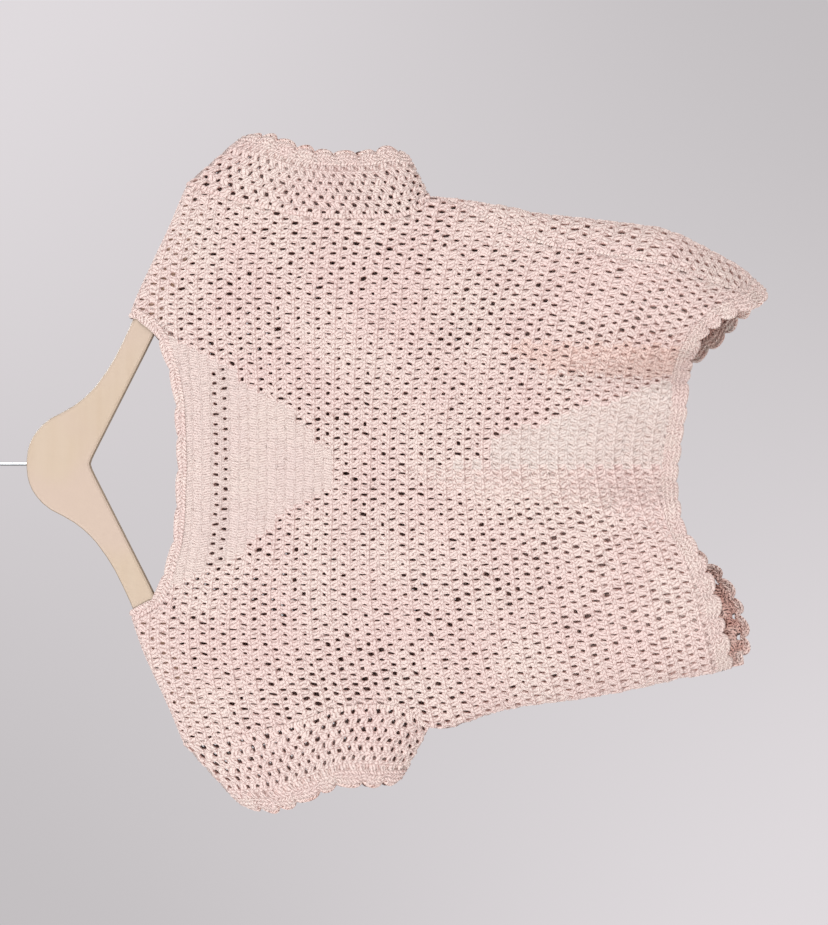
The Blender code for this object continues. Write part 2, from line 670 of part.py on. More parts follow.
def add_sleeve(name, column, grids, normals, cuff_rows, cloth, trim):
    """A sleeve on one armhole, and the scalloped edging round its cuff."""
    armhole = armhole_ring([grids[side][column] for side in OUTWARD])
    armhole_normals = armhole_ring([normals[side][column] for side in OUTWARD])
    grid = sleeve_grid(armhole, cuff_rows)
    ways = tube_normals(grid)
    for way, normal in zip(ways, armhole_normals):
        way[0] = normal
    cuff = [points[-1] for points in grid]
    cuff_normals = [way[-1] for way in ways]
    before_cuff = [points[-2] for points in grid]
    after_armhole = [points[1] for points in grid]
    at_armhole = inwards_of(armhole, armhole_normals, after_armhole, closed=True)
    at_cuff = inwards_of(cuff, cuff_normals, before_cuff, closed=True)
    for points, start, stop in zip(grid, at_armhole, at_cuff):
        points[0] = points[0] + start * (SEAM_GAP / 2)
        points[-1] = points[-1] + stop * (SEAM_GAP / 2)
    add_wall("sleeve_" + name, grid, ways, cloth, closed=True)
    band, band_normals = edging_grid(cuff, cuff_normals, before_cuff, CUFF_EDGING)
    add_wall("cuff_edging_" + name, band, band_normals, trim, closed=True)


def add_body_edging(name, grids, normals, row, inner_row, reach, edging, look):
    """A scalloped edging round the neck or the hem."""
    path, inner_path = (body_ring(grids, each, *reach) for each in (row, inner_row))
    band, band_normals = edging_grid(path, body_ring(normals, row, *reach), inner_path, edging)
    add_wall(name, band, band_normals, look, closed=True)


def add_garment(cloth, trim):
    """The two panels, the sleeves and the edgings."""
    grids, normals = {}, {}
    for side in OUTWARD:
        grids[side], normals[side] = panel_grid(side)
    match_normals(normals)
    for side in OUTWARD:
        add_wall(side + "_panel", trimmed(grids[side], normals[side]), normals[side], cloth)
    add_sleeve("left", 0, grids, normals, CUFF_LEFT, cloth, trim)
    add_sleeve("right", -1, grids, normals, CUFF_RIGHT, cloth, trim)
    hem_columns = (0, len(grids["front"]) - 1)
    add_body_edging("neck_edging", grids, normals, 0, 1, NECK_COLUMNS, NECK_EDGING, trim)
    add_body_edging("hem_edging", grids, normals, -1, -2, hem_columns, HEM_EDGING, trim)


def main():
    remove_everything()
    cloth = material("crochet cotton", (0.72, 0.54, 0.50), 0.95)
    trim = material("crochet edging", (0.76, 0.57, 0.53), 0.95)
    wood = material("pale wood", (0.72, 0.55, 0.38), 0.5)
    steel = material("hook wire", (0.6, 0.58, 0.56), 0.3, 1.0)
    add_garment(cloth, trim)
    add_hanger_body(wood)
    add_hanger_hook(steel)


main()
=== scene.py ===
"""The looks of a crochet top on a wooden hanger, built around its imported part.

Sizes are in millimetres and become metres when a mesh is made. Only the lights are given in metres. X runs
to the right as seen from the front, the front faces -Y, and a "drop" is a distance below the origin, which
is inside the hook's crown. A "share" runs across a panel from its left seam to its right seam. On the
cloth, "rows" counts rows of stitches downwards, and "across" is a distance along a row from the panel's
middle.
"""
import math
from collections import namedtuple

import bpy
import numpy as np
from mathutils import Matrix, Vector


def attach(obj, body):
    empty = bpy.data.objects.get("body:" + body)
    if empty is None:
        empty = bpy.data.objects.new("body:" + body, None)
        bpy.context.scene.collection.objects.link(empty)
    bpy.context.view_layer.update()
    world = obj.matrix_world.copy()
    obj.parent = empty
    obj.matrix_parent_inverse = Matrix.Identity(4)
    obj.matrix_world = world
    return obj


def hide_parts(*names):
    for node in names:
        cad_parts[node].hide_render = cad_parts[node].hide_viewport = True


METRES = 0.001


def table(columns, *rows):
    """Rows of values with named columns."""
    kind = namedtuple("Row", columns)
    return tuple(kind(*row) for row in rows)


# ---- The form of the cloth, within a few millimetres of the part's ----

UNDERARM_DROP = 380.0
WRAP_DEPTH = 5.5            # over which the cloth turns from the front over the shoulder
WRAP_ROUNDNESS = 3
HEM_DROP = 600.0            # where the folds are at their full depth
CUFF_HALF_DEPTH = 13.0
CUFF_ROUNDNESS = 2.6
CHEST_BLEND = 40.0          # over which a ring's section changes above the underarm
FOLD_FADE = 1.8             # how closely the folds run up to the side edges
HALF_RING_POINTS = 181
SHOULDER_HALF_WIDTH = 221.2

LEVELS = table(
    "drop left right front back armhole turn_left turn_right",
    (140, -SHOULDER_HALF_WIDTH, SHOULDER_HALF_WIDTH, 7.7, 7.7, 7.7, 0, 0),
    (186, -SHOULDER_HALF_WIDTH, SHOULDER_HALF_WIDTH, 8.3, 8.3, 7.7, 0, 0),
    (220, -217, 211, 10, 10, 9.5, 0, 0),
    (250, -210.5, 203, 12, 12, 11, 0, 0),
    (280, -203, 197, 14, 14, 12, 0, 0),
    (305, -194, 195, 15, 15, 12, 0, 0),
    (330, -190.5, 195, 16, 16, 11.5, 0, 0),
    (352, -191.5, 195.5, 17, 17, 10, 0, 0),
    (368, -198, 200, 18, 18, 6.5, 0, 0),
    (380, -208, 211, 19, 19, 0, 0, 0),
    (392, -209, 210.5, 20, 20, 0, 1, 2),
    (412, -202.5, 207.5, 21.5, 21.5, 0, 2, 8),
    (436, -194.5, 204, 23.5, 24, 0, 4, 18),
    (467, -189, 197.5, 26, 27, 0, 6, 27),
    (499, -185, 194, 30, 31, 0, 8, 31),
    (530, -179.5, 190.5, 34, 35, 0, 10, 34),
    (562, -172.5, 186, 38, 39, 0, 12, 37),
    (578, -168.5, 180.5, 40, 41, 0, 12, 38),
    (594, -166.5, 172.5, 41, 42, 0, 12, 38),
    (610, -163, 164, 41, 42, 0, 12, 36),
    (626, -160, 154.5, 40, 41, 0, 12, 30),
    (640, -158, 142.5, 38, 39, 0, 12, 20),
    (655, -157, 131, 36, 37, 0, 12, 14),
)

LINE_COLUMNS = "x drop"
RIDGE = table(
    LINE_COLUMNS,
    (-226, 190), (-218, 185.5), (-199, 177.6), (-181, 169.6), (-164, 161.6), (-148, 154.5),
    (-123.5, 146), (-112, 142.4), (-90, 135), (90, 135), (112, 142.4), (123.5, 146),
    (135, 150.5), (153, 158.8), (170, 166.8), (186, 174.4), (208, 183.6), (226, 191.5),
)

NECK_HALF_WIDTH = 123.5
NECK_SEAM = table(
    LINE_COLUMNS,
    (0, 189), (47, 187), (65, 184.5), (79, 180.5), (94, 175.5), (104, 171),
    (111.5, 165.5), (116, 160), (118.4, 156), (120.8, 151.6), (121.8, 149.4), (122.6, 147.6),
    (123.2, 146.5), (NECK_HALF_WIDTH, 146),
)

FRONT_HEM = table(
    LINE_COLUMNS,
    (-165, 607), (-150, 604), (-132, 599), (-105, 593.5), (-87, 586), (-72, 578.5), (-57, 569.5),
    (-42, 563.5), (-22, 561.5), (0, 562.5), (24, 565), (47, 568), (66, 569.5), (86, 575.5),
    (109, 588.5), (121, 602), (129, 619), (135, 632), (142, 636),
)
BACK_HEM = table(
    LINE_COLUMNS,
    (-165, 610), (-155, 618), (-140, 623), (-124, 620.5), (-108, 614), (-96, 606.5), (-87, 598),
    (-78, 587), (-66, 577), (-54, 570), (-27, 559), (0, 557), (30, 556), (50, 559),
    (70, 569), (90, 586.5), (105, 604.5), (115, 613.5), (124, 622), (132, 631), (140, 636),
    (150, 637),
)

FOLD_COLUMNS = "x_start x_hem half_width height start_drop"
FOLDS = {
    "front": table(
        FOLD_COLUMNS,
        (-150, -152, 26, 3, 400),
        (-118, -118, 22, -4, 400),
        (-42, -38, 24, 8, 395),
        (-8, -6, 20, -12, 400),
        (46, 52, 21, 13, 420),
        (80, 88, 17, -19, 440),
        (118, 124, 26, 5, 500),
    ),
    "back": table(
        FOLD_COLUMNS,
        (-120, -112, 26, 7, 400),
        (-72, -66, 24, -9, 400),
        (-16, -10, 30, 9, 420),
        (42, 44, 24, -10, 400),
        (98, 92, 28, 7, 430),
    ),
}
OUTWARD = {"front": -1.0, "back": 1.0}

CUFF_COLUMNS = "share x drop"
CUFFS = {
    "left": table(
        CUFF_COLUMNS,
        (0, -264, 226), (0.2, -263.5, 250), (0.45, -252.5, 283),
        (0.7, -241.5, 316), (0.86, -242.5, 340), (1, -242, 361.5),
    ),
    "right": table(
        CUFF_COLUMNS,
        (0, 254, 227), (0.2, 249, 250), (0.45, 238, 280),
        (0.7, 235, 308), (0.85, 235.5, 333), (0.93, 239, 350),
        (1, 236.5, 367),
    ),
}

# ---- The stitches ----

STITCH_WIDTH = {"front": 7.9, "back": 8.3}
ROW_HEIGHT = 7.32
FIRST_ROW_DROP = 142.4
ROW_COUNT = 66
SEED = 7

# How far the rows lie below their own middle at each x, by the drop of that middle
ROW_STATIONS = (-205, -170, -134, -99, -63, -28, 8, 43, 79, 115, 150, 186)
ROW_LINES = {
    90: (8, -6, -15, -12, -3, 0, 0, -0.5, -4, -9, -3, 8),
    150: (6, -8, -15, -11, -3, 0, 0, -0.5, -4, -8, -4, 6),
    199: (0, -8, -12, -9, -2.5, 0, 0, -0.5, -3, -6, -4.5, 1),
    293: (12.6, 4.3, -1.6, -3.5, -2, -0.8, 0, 0, 0, 0, 1.9, 6.3),
    357: (20, 12, 6, 1.9, 0, 0, 0, 1.9, 5.6, 9.3, 12.6, 20),
    420: (31, 20, 13.4, 9.3, 5.6, 1.9, 0, 1.9, 5.5, 11, 18.6, 29),
    483: (43, 32, 24, 17.4, 11.4, 3.2, 0, 3.7, 10, 18, 28, 44),
    546: (60, 51, 41, 33, 20.5, 5, 0, 4, 11.6, 27, 47, 75),
    640: (66, 57, 46, 37, 24, 7, 0, 5, 13, 30, 52, 82),
}

# The closely worked parts of the front, the bib under the neck and the gusset above the hem, whose right
# part has painted light, and the crease beside the gusset, pinker with painted shade
PATCH_COLUMNS = "drop left right"
BIB = table(
    PATCH_COLUMNS,
    (140, -112, 112), (159, -107, 107), (197, -87, 90), (228, -70, 70), (262, -43, 47), (294, -24, 18),
    (309, 0, 0),
)
GUSSET = table(
    PATCH_COLUMNS,
    (365, -8, -2), (390, -20, 0), (412, -25, 2), (427, -26, 4), (433, -26, 20), (475, -28, 34),
    (500, -32, 43), (536, -42, 55), (563, -52, 62), (600, -60, 66),
)
SHADED_CREASE = table(
    PATCH_COLUMNS,
    (438, 88, 91), (460, 82, 95), (483, 71, 95), (515, 69, 95), (545, 67, 94), (575, 70, 92), (600, 74, 90),
)
PINCH_DROP = 490.0          # below which the middle of the crease has no holes
PINCH_MIDDLE = 82.0
PINCH_HALF_WIDTH = 7.0
EYELET_ROWS = (9, 10)
EYELET_REACH = (-88, 78)
EYELET_SIZE = (2.3, 3.0)
# where the gusset's painted light begins, right of the fold's valley
LIT_GUSSET_LEFT = -3.0


CURVE_STEPS = 24            # between two points of a smooth curve


def curve_through(keys, values):
    """A smooth function through some values, without overshoot and level beyond its ends."""
    keys, values = np.array(keys, float), np.array(values, float)
    span = np.diff(keys)[:, None]
    steps = np.diff(values) / span[:, 0]
    product = steps[:-1] * steps[1:]
    slopes = np.divide(2 * product, steps[:-1] + steps[1:], out=np.zeros_like(product), where=product > 0)
    slopes = np.concatenate([steps[:1], slopes, steps[-1:]])[:, None]
    t = np.linspace(0.0, 1.0, CURVE_STEPS + 1)[:-1]
    start = values[:-1, None] * (1 + 2 * t) * (1 - t) ** 2 + slopes[:-1] * span * t * (1 - t) ** 2
    stop = values[1:, None] * t * t * (3 - 2 * t) - slopes[1:] * span * t * t * (1 - t)
    fine_keys = np.append(keys[:-1, None] + span * t, keys[-1])
    fine_values = np.append(start + stop, values[-1])
    return lambda at: np.interp(at, fine_keys, fine_values)


def curve_of(rows, column):
    """A smooth function from a table's first column to another one."""
    return curve_through([row[0] for row in rows], [getattr(row, column) for row in rows])


LEVEL_AT = {column: curve_of(LEVELS, column) for column in LEVELS[0]._fields[1:]}
RIDGE_AT = curve_of(RIDGE, "drop")
NECK_AT = curve_of(NECK_SEAM, "drop")
HEM_AT = {"front": curve_of(FRONT_HEM, "drop"), "back": curve_of(BACK_HEM, "drop")}


def eased(share):
    """0 to 1 with level ends."""
    share = np.clip(share, 0.0, 1.0)
    return share * share * (3 - 2 * share)


def fold_height(side, x, drop):
    """How far the folds push the cloth outwards."""
    height = 0.0
    for fold in FOLDS[side]:
        share = (drop - fold.start_drop) / (HEM_DROP - fold.start_drop)
        middle = fold.x_start + (fold.x_hem - fold.x_start) * share
        height = height + fold.height * eased(share) * np.exp(-((x - middle) / fold.half_width) ** 2)
    return height


def half_ring(side, drop):
    """The cloth over the front or the back at one drop, from left to right, as x and y."""
    level = {column: curve(drop) for column, curve in LEVEL_AT.items()}
    middle = (level["left"] + level["right"]) / 2
    half_width = (level["right"] - level["left"]) / 2
    roundness = 1 + eased((UNDERARM_DROP - drop) / CHEST_BLEND)
    angle = np.linspace(0.0, math.pi, HALF_RING_POINTS)
    x = middle - half_width * np.cos(angle)
    lift = np.maximum(0.0, np.sin(angle))
    depth = level["armhole"] + (level[side] - level["armhole"]) * lift ** roundness
    depth = depth + fold_height(side, x, drop) * np.minimum(1.0, FOLD_FADE * lift)
    return np.stack([x, OUTWARD[side] * depth], 1)


def lengths_along(points):
    """The distance of each point from the first one, along the line."""
    return np.concatenate([[0.0], np.cumsum(np.linalg.norm(np.diff(points, axis=0), axis=1))])


def points_at(places, lengths, points):
    """Points between those of a row, at distances along it."""
    return np.stack([np.interp(places, lengths, points[:, k]) for k in range(points.shape[1])], -1)


def spaced(points, start, stop, count):
    """Points at even distances along a line, between two distances from its first point."""
    return points_at(np.linspace(start, stop, count), lengths_along(points), points)


# ---- Tables of the cloth, sampled once ----

DROPS = np.arange(130.0, 700.0, 2.0)
SHARES = np.linspace(0.0, 1.0, 241)
LINE_POINTS = 401
TURN_LEFT_POINTS, TURN_RIGHT_POINTS = 31, 61


def panel_line(side, drop):
    """A panel's line at one drop, at even shares from its left seam to its right seam."""
    front, back = half_ring("front", drop), half_ring("back", drop)
    turn_left, turn_right = float(LEVEL_AT["turn_left"](drop)), float(LEVEL_AT["turn_right"](drop))
    front_length, back_length = lengths_along(front)[-1], lengths_along(back)[-1]
    if side == "front":
        line = spaced(front, 0.0, front_length - turn_right, LINE_POINTS)
        if turn_left > 0:
            line = np.concatenate([spaced(back, turn_left, 0.0, TURN_LEFT_POINTS)[:-1], line])
    else:
        line = spaced(back, turn_left, back_length, LINE_POINTS)
        if turn_right > 0:
            turned = spaced(front, front_length, front_length - turn_right, TURN_RIGHT_POINTS)
            line = np.concatenate([line, turned[1:]])
    return spaced(line, 0.0, lengths_along(line)[-1], len(SHARES))


SURFACE = {side: np.array([panel_line(side, drop) for drop in DROPS]) for side in OUTWARD}


def weights(t):
    """The shares of four neighbours in a smooth curve between the middle two."""
    return (
        ((-t + 2) * t - 1) * t / 2,
        ((3 * t - 5) * t * t + 2) / 2,
        ((-3 * t + 4) * t + 1) * t / 2,
        (t - 1) * t * t / 2,
    )


def sample(grid, row, column):
    """Smooth values between the entries of a grid."""
    row = np.clip(row, 0.0, grid.shape[0] - 1.0)
    column = np.clip(column, 0.0, grid.shape[1] - 1.0)
    r = np.minimum(np.floor(row).astype(int), grid.shape[0] - 2)
    c = np.minimum(np.floor(column).astype(int), grid.shape[1] - 2)
    total = 0.0
    for i, by_row in enumerate(weights(row - r)):
        for j, by_column in enumerate(weights(column - c)):
            rows = np.clip(r + i - 1, 0, grid.shape[0] - 1)
            columns = np.clip(c + j - 1, 0, grid.shape[1] - 1)
            share = by_row * by_column
            total = total + grid[rows, columns] * (share[..., None] if grid.ndim == 3 else share)
    return total


def wrap_over_shoulder(x, drop):
    """0 on the ridge over the hanger, 1 where the cloth hangs free below it."""
    share = np.clip((drop - RIDGE_AT(x)) / WRAP_DEPTH, 0.0, 1.0)
    return (1 - (1 - share) ** WRAP_ROUNDNESS) ** (1 / WRAP_ROUNDNESS)


def entry(value, stops):
    """At which entry of an evenly spaced row a value lies."""
    return (value - stops[0]) / (stops[1] - stops[0])


def hanging(side, share, drop):
    """x and y of a panel, as if it hung free at all heights."""
    return sample(SURFACE[side], entry(drop, DROPS), share * (len(SHARES) - 1))


def on_panel(side, share, drop):
    """The points of a panel at shares of its width and drops."""
    flat = hanging(side, share, drop)
    x = flat[..., 0]
    return np.stack([x, flat[..., 1] * wrap_over_shoulder(x, drop), -drop], -1)


def unit(vectors):
    """Vectors of length one."""
    return vectors / np.maximum(np.linalg.norm(vectors, axis=-1, keepdims=True), 1e-9)


SMALL_SHARE, SMALL_DROP = 0.002, 0.5       # how far apart a panel's slopes are taken


def panel_normal(side, share, drop):
    """The outward directions of a panel."""
    across = on_panel(side, np.minimum(1.0, share + SMALL_SHARE), drop)
    across = across - on_panel(side, np.maximum(0.0, share - SMALL_SHARE), drop)
    down = on_panel(side, share, drop + SMALL_DROP) - on_panel(side, share, drop - SMALL_DROP)
    return unit(np.cross(across, down) * OUTWARD[side])


def top_edge(x):
    """The top edge of a panel: the neck seam between the two shoulder seams."""
    return np.where(np.abs(x) < NECK_HALF_WIDTH, NECK_AT(np.abs(x)), RIDGE_AT(x))


FIELD_END = 260.0
FIELD_X = np.arange(-FIELD_END, FIELD_END + 0.1, 4.0)
ACROSS = np.arange(-FIELD_END, FIELD_END + 0.1, 2.0)
FIELD_ROWS = np.arange(-7.0, ROW_COUNT + 2.0, 0.5)
SETTLING_TURNS = 6


def row_field():
    """The drop of each half row at each x."""
    lines = []
    for drop, offsets in ROW_LINES.items():
        steep = np.diff(offsets) / np.diff(ROW_STATIONS)
        first = offsets[0] + steep[0] * (-FIELD_END - ROW_STATIONS[0])
        last = offsets[-1] + steep[-1] * (FIELD_END - ROW_STATIONS[-1])
        curve = curve_through([-FIELD_END, *ROW_STATIONS, FIELD_END], [first, *offsets, last])
        lines.append(curve(FIELD_X) + drop)
    keys = (np.array(list(ROW_LINES)) - FIRST_ROW_DROP) / ROW_HEIGHT
    return np.array([curve_through(keys, values)(FIELD_ROWS) for values in np.array(lines).T]).T


FIELD = row_field()


def share_tables(side):
    """Each panel's share of the width, and its drop, for counts of rows and distances across."""
    shares, drops = [], []
    fine = np.linspace(0.0, 1.0, LINE_POINTS)
    for rows in FIELD_ROWS:
        drop = np.full(LINE_POINTS, FIRST_ROW_DROP + ROW_HEIGHT * rows)
        for _ in range(SETTLING_TURNS):
            x = hanging(side, fine, drop)[:, 0]
            drop = 0.5 * drop + 0.5 * sample(FIELD, entry(rows, FIELD_ROWS), entry(x, FIELD_X))
        line = np.column_stack([hanging(side, fine, drop), -drop])
        lengths = lengths_along(line)
        lengths = lengths - np.interp(0.0, line[:, 0], lengths)
        start, stop = lengths[0], lengths[-1]
        share = np.interp(ACROSS, lengths, fine)
        share = np.where(ACROSS < start, (ACROSS - start) / (stop - start), share)
        share = np.where(ACROSS > stop, 1 + (ACROSS - stop) / (stop - start), share)
        shares.append(share)
        drops.append(np.interp(ACROSS, lengths, drop))
    return np.array(shares), np.array(drops)


TABLES = {side: share_tables(side) for side in OUTWARD}


def cloth_place(side, rows, across):
    """The share and the drop of places on a panel, before its edges cut them off."""
    at = entry(rows, FIELD_ROWS), entry(across, ACROSS)
    return tuple(sample(entries, *at) for entries in TABLES[side])


SEAM_GROOVE = 1.3           # depth of the furrow along a panel's side edges
SEAM_GROOVE_SHARE = 0.004
RIDGE_RELIEF = 0.4          # the share of the stitches' relief that is left on the shoulders' ridge
RIDGE_RELIEF_REACH = 8.0


def panel_points(side, rows, across, height):
    """Points of a panel, kept inside its edges, at heights above the cloth."""
    share, drop = cloth_place(side, rows, across)
    share = np.clip(share, 0.0, 1.0)
    x = on_panel(side, share, drop)[..., 0]
    drop = np.clip(drop, top_edge(x), HEM_AT[side](x))
    below_ridge = np.clip((drop - RIDGE_AT(x)) / RIDGE_RELIEF_REACH, 0.0, 1.0)
    height = height * (RIDGE_RELIEF + (1 - RIDGE_RELIEF) * below_ridge)
    height = height - SEAM_GROOVE * np.exp(-(np.minimum(share, 1 - share) / SEAM_GROOVE_SHARE) ** 2)
    return on_panel(side, share, drop) + panel_normal(side, share, drop) * height[..., None]


# ---- Meshes ----


def add_object(name, data):
    """An object in the scene."""
    item = bpy.data.objects.new(name, data)
    bpy.context.scene.collection.objects.link(item)
    return item


def add_mesh(name, points, faces, looks, uv=None, kinds=None):
    """A smooth mesh object in metres."""
    mesh = bpy.data.meshes.new(name)
    mesh.from_pydata((points * METRES).tolist(), [], [tuple(face) for face in faces])
    if uv is not None:
        layer = mesh.uv_layers.new(name="stitches")
        corners = np.zeros(len(mesh.loops), np.int32)
        mesh.loops.foreach_get("vertex_index", corners)
        layer.data.foreach_set("uv", uv[corners].astype(np.float32).ravel())
    for look in looks:
        mesh.materials.append(look)
    if kinds is not None:
        mesh.polygons.foreach_set("material_index", np.array(kinds, np.int32))
    mesh.shade_smooth()
    return add_object(name, mesh)


# The twelve points round a stitch's cell, clockwise from its top left corner, in cell units, and the
# same points round its hole, from -1 to 1
CELL_RING = np.array([
    (0, 0), (0.25, 0), (0.5, 0), (0.75, 0), (1, 0), (1, 0.5),
    (1, 1), (0.75, 1), (0.5, 1), (0.25, 1), (0, 1), (0, 0.5),
], float)
HOLE_RING = np.array([
    (-0.86, -0.74), (-0.5, -0.96), (0, -1), (0.5, -0.96), (0.86, -0.74), (1, 0),
    (0.86, 0.74), (0.5, 0.96), (0, 1), (-0.5, 0.96), (-0.86, 0.74), (-1, 0),
], float)
RIDGE_HEIGHT = 1.35         # of every second line between rows
FURROW_HEIGHT = 0.1         # of the others
STRAND_HEIGHT = 1.0         # of the strands beside a hole
GROOVE_HEIGHT = 0.1         # between two strands
LIP_HEIGHT = 0.0            # at a hole's edge
RIM_HEIGHT = -2.0           # at the back of a hole's edge

# How unevenly the points lie down, across and in height: those between the cells and those at their sides
KNOT_SPREAD = (0.05, 0.03, 0.12)
SIDE_SPREAD = (0.03, 0.04, 0.1)
CREST_HEIGHTS = np.where(np.isin(np.arange(12), (5, 11)), STRAND_HEIGHT + 0.1, STRAND_HEIGHT - 0.1)
CREST_SPREAD = 0.1
CREST_SHARE = 0.53          # of the way from a cell's edge to its hole, at which the crest lies
MIDDLE_SPREAD = 0.035       # of the middle of a hole
LEAN, LEAN_SPREAD = 0.08, 0.1
EDGE_SPREAD = 0.09          # of the points round a hole
RIM_WIDENING = 0.8          # of a hole's back edge, in widths of the hole

# The yarns of a net's looks, and what a cell can be: its yarn, whether it is open, and else how high the
# middle of its stitch lies and how wide that middle is, in hole widths
NET_YARNS = ("open", "close", "bright", "deep", "crease")
NO_CELL, CLOSED, HOLE, DENSE, LIT_GUSSET, EYELET, SHADED_CREASE_HOLE, SHADED_CREASE_CLOSED = range(8)
CELLS = table(
    "kind yarn holed pit_height pit_widening",
    (CLOSED, "open", False, -1.5, 0.85),
    (HOLE, "open", True, 0, 0),
    (DENSE, "close", False, 0.8, 0.55),
    (LIT_GUSSET, "bright", False, -1.5, 0.85),
    (EYELET, "close", True, 0, 0),
    (SHADED_CREASE_HOLE, "crease", True, 0, 0),
    (SHADED_CREASE_CLOSED, "crease", False, -1.5, 0.85),
)


def line_height(rows):
    """The height of the line between two rows."""
    return np.where(rows % 2 == 0, RIDGE_HEIGHT, FURROW_HEIGHT)


class Net:
    """Collects the points and faces of one crocheted piece."""

    def __init__(self, pitch):
        self.pitch = pitch
        self.places, self.faces, self.kinds, self.count = [], [], [], 0

    def add(self, rows, across, height):
        """Adds points and returns their numbers."""
        shape = np.broadcast_shapes(np.shape(rows), np.shape(across), np.shape(height))
        block = np.stack([np.broadcast_to(v, shape).reshape(-1) for v in (rows, across, height)], 1)
        numbers = np.arange(self.count, self.count + len(block)).reshape(shape)
        self.places.append(block)
        self.count += len(block)
        return numbers

    def band(self, outer, inner, kind):
        """Joins two rings of points, one row of the arrays for each cell."""
        after_outer, after_inner = np.roll(outer, -1, 1), np.roll(inner, -1, 1)
        quads = np.stack([outer, after_outer, after_inner, inner], -1).reshape(-1, 4)
        self.faces += quads.tolist()
        self.kinds += [kind] * len(quads)

    def finish(self, name, to_points, looks):
        """The object, without the points that no face uses."""
        rows, across, height = np.concatenate(self.places).T
        points = to_points(rows, across, height)
        used = sorted({n for face in self.faces for n in face})
        number = {old: new for new, old in enumerate(used)}
        faces = [[number[n] for n in face] for face in self.faces]
        uv = np.stack([across / self.pitch, rows], 1)[used]
        return add_mesh(name, points[used], faces, looks, uv, self.kinds)


def add_net(name, kinds, sizes, first_cell, pitch, to_points, looks, closed=False):
    """A crocheted piece: a cell of some kind for each stitch, and every second row half a stitch aside.

    A closed net goes round, with its last cell beside its first.
    """
    net = Net(pitch)
    row_count, count = kinds.shape
    count += 0 if closed else 1
    rng = np.random.default_rng(SEED + len(name))
    lines = np.arange(row_count + 1)
    quarters = np.arange(4 * count) / 4 + first_cell
    down, aside, lift = (rng.normal(0, spread, (len(lines), len(quarters))) for spread in KNOT_SPREAD)
    knots = net.add(lines[:, None] + down, (quarters + aside) * pitch, line_height(lines)[:, None] + lift)
    halves = np.arange(2 * count) / 2 + first_cell
    down, aside, lift = (rng.normal(0, spread, (row_count, len(halves))) for spread in SIDE_SPREAD)
    sides = net.add(lines[:-1, None] + 0.5 + down, (halves + aside) * pitch, GROOVE_HEIGHT + lift)
    for r in range(row_count):
        columns = np.nonzero(kinds[r])[0]
        half_cells = 2 * columns + r % 2
        corners = [(2 * half_cells + q) % (4 * count) for q in range(5)]
        top, low = ([knots[line, places] for places in corners] for line in (r, r + 1))
        left, right = (sides[r, (half_cells + n) % (2 * count)] for n in (0, 2))
        outer = np.stack([*top, right, *low[::-1], left], 1)
        add_cells(net, r, half_cells / 2 + first_cell, outer, kinds[r, columns], sizes[r, columns], rng)
    return net.finish(name, to_points, looks)


def add_cells(net, r, start, outer, kind, size, rng):
    """The inside of one row's cells."""
    count = len(start)
    middle = 0.5 + rng.normal(0, MIDDLE_SPREAD, (count, 1, 2))
    lean = rng.normal(LEAN if r % 2 else -LEAN, LEAN_SPREAD, count)
    half = size / 2 / (net.pitch, ROW_HEIGHT)
    hole = HOLE_RING * half[:, None] * (1 + rng.normal(0, EDGE_SPREAD, (count, 12, 1)))
    hole[..., 0] -= lean[:, None] * HOLE_RING[:, 1] * half[:, None, 1]
    hole = hole + middle
    crest_ring = CELL_RING * (1 - CREST_SHARE) + hole * CREST_SHARE
    crest = CREST_HEIGHTS + rng.normal(0, CREST_SPREAD, (count, 12))
    for cell in CELLS:
        chosen = np.nonzero(kind == cell.kind)[0]

        def add_ring(ring, height):
            across, down = ring[chosen, :, 0], ring[chosen, :, 1]
            return net.add(r + down, (start[chosen, None] + across) * net.pitch, height)

        def shrunk(share):
            return middle + (hole - middle) * share

        look = NET_YARNS.index(cell.yarn)
        crests = add_ring(crest_ring, crest[chosen])
        net.band(outer[chosen], crests, look)
        if cell.holed:
            lip, rim = add_ring(hole, LIP_HEIGHT), add_ring(shrunk(RIM_WIDENING), RIM_HEIGHT)
            net.band(crests, lip, look)
            # A hole's wall takes the deep yarn: painted shade inside the hole
            net.band(lip, rim, NET_YARNS.index("deep"))
        else:
            pit = add_ring(shrunk(cell.pit_widening), cell.pit_height)
            net.band(crests, pit, look)
            net.faces += pit.tolist()
            net.kinds += [look] * len(pit)


# ---- The panels ----

PANEL_CELLS = (-30, 30)
LATTICE_SHIFT = {"front": (0.0, 0.0), "back": (-0.35, 0.5)}    # in rows and in stitches
HOLE_WIDTH, HOLE_HEIGHT = 1.82, 3.6
HOLE_WIDTH_SPREAD, HOLE_HEIGHT_SPREAD = 0.27, 0.22
HOLE_WIDTHS, HOLE_HEIGHTS = (0.8, 3.7), (1.5, 5.3)
BACK_HOLE_SCALE = 0.6       # of the unseen holes of the back
HOLE_PATCHES = table(
    "x drop half_width half_height wider taller",
    (106, 560, 16, 45, 0.35, 0.15),
    (0, 340, 45, 40, -0.14, 0),
)


def hole_sizes(x, drop, scale, rng):
    """The width and height of each hole, in millimetres."""
    width = HOLE_WIDTH * np.exp(rng.normal(0, HOLE_WIDTH_SPREAD, x.shape))
    height = HOLE_HEIGHT * np.exp(rng.normal(0, HOLE_HEIGHT_SPREAD, x.shape))
    slow = np.sin(x / 31 + 1.3) * np.sin(drop / 43 + 0.4) + 0.6 * np.sin(x / 17 - drop / 23)
    near_armhole = eased((np.abs(x) - 120) / 60) * eased((drop - 220) / 80) * eased((400 - drop) / 30)
    wider, taller = 1 + 0.16 * slow + 0.25 * near_armhole, 1 + 0.07 * slow
    for patch in HOLE_PATCHES:
        aside, below = (x - patch.x) / patch.half_width, (drop - patch.drop) / patch.half_height
        share = np.exp(-aside ** 2 - below ** 2)
        wider, taller = wider + patch.wider * share, taller + patch.taller * share
    sizes = np.stack([np.clip(width * wider, *HOLE_WIDTHS), np.clip(height * taller, *HOLE_HEIGHTS)], -1)
    return sizes * scale[..., None]


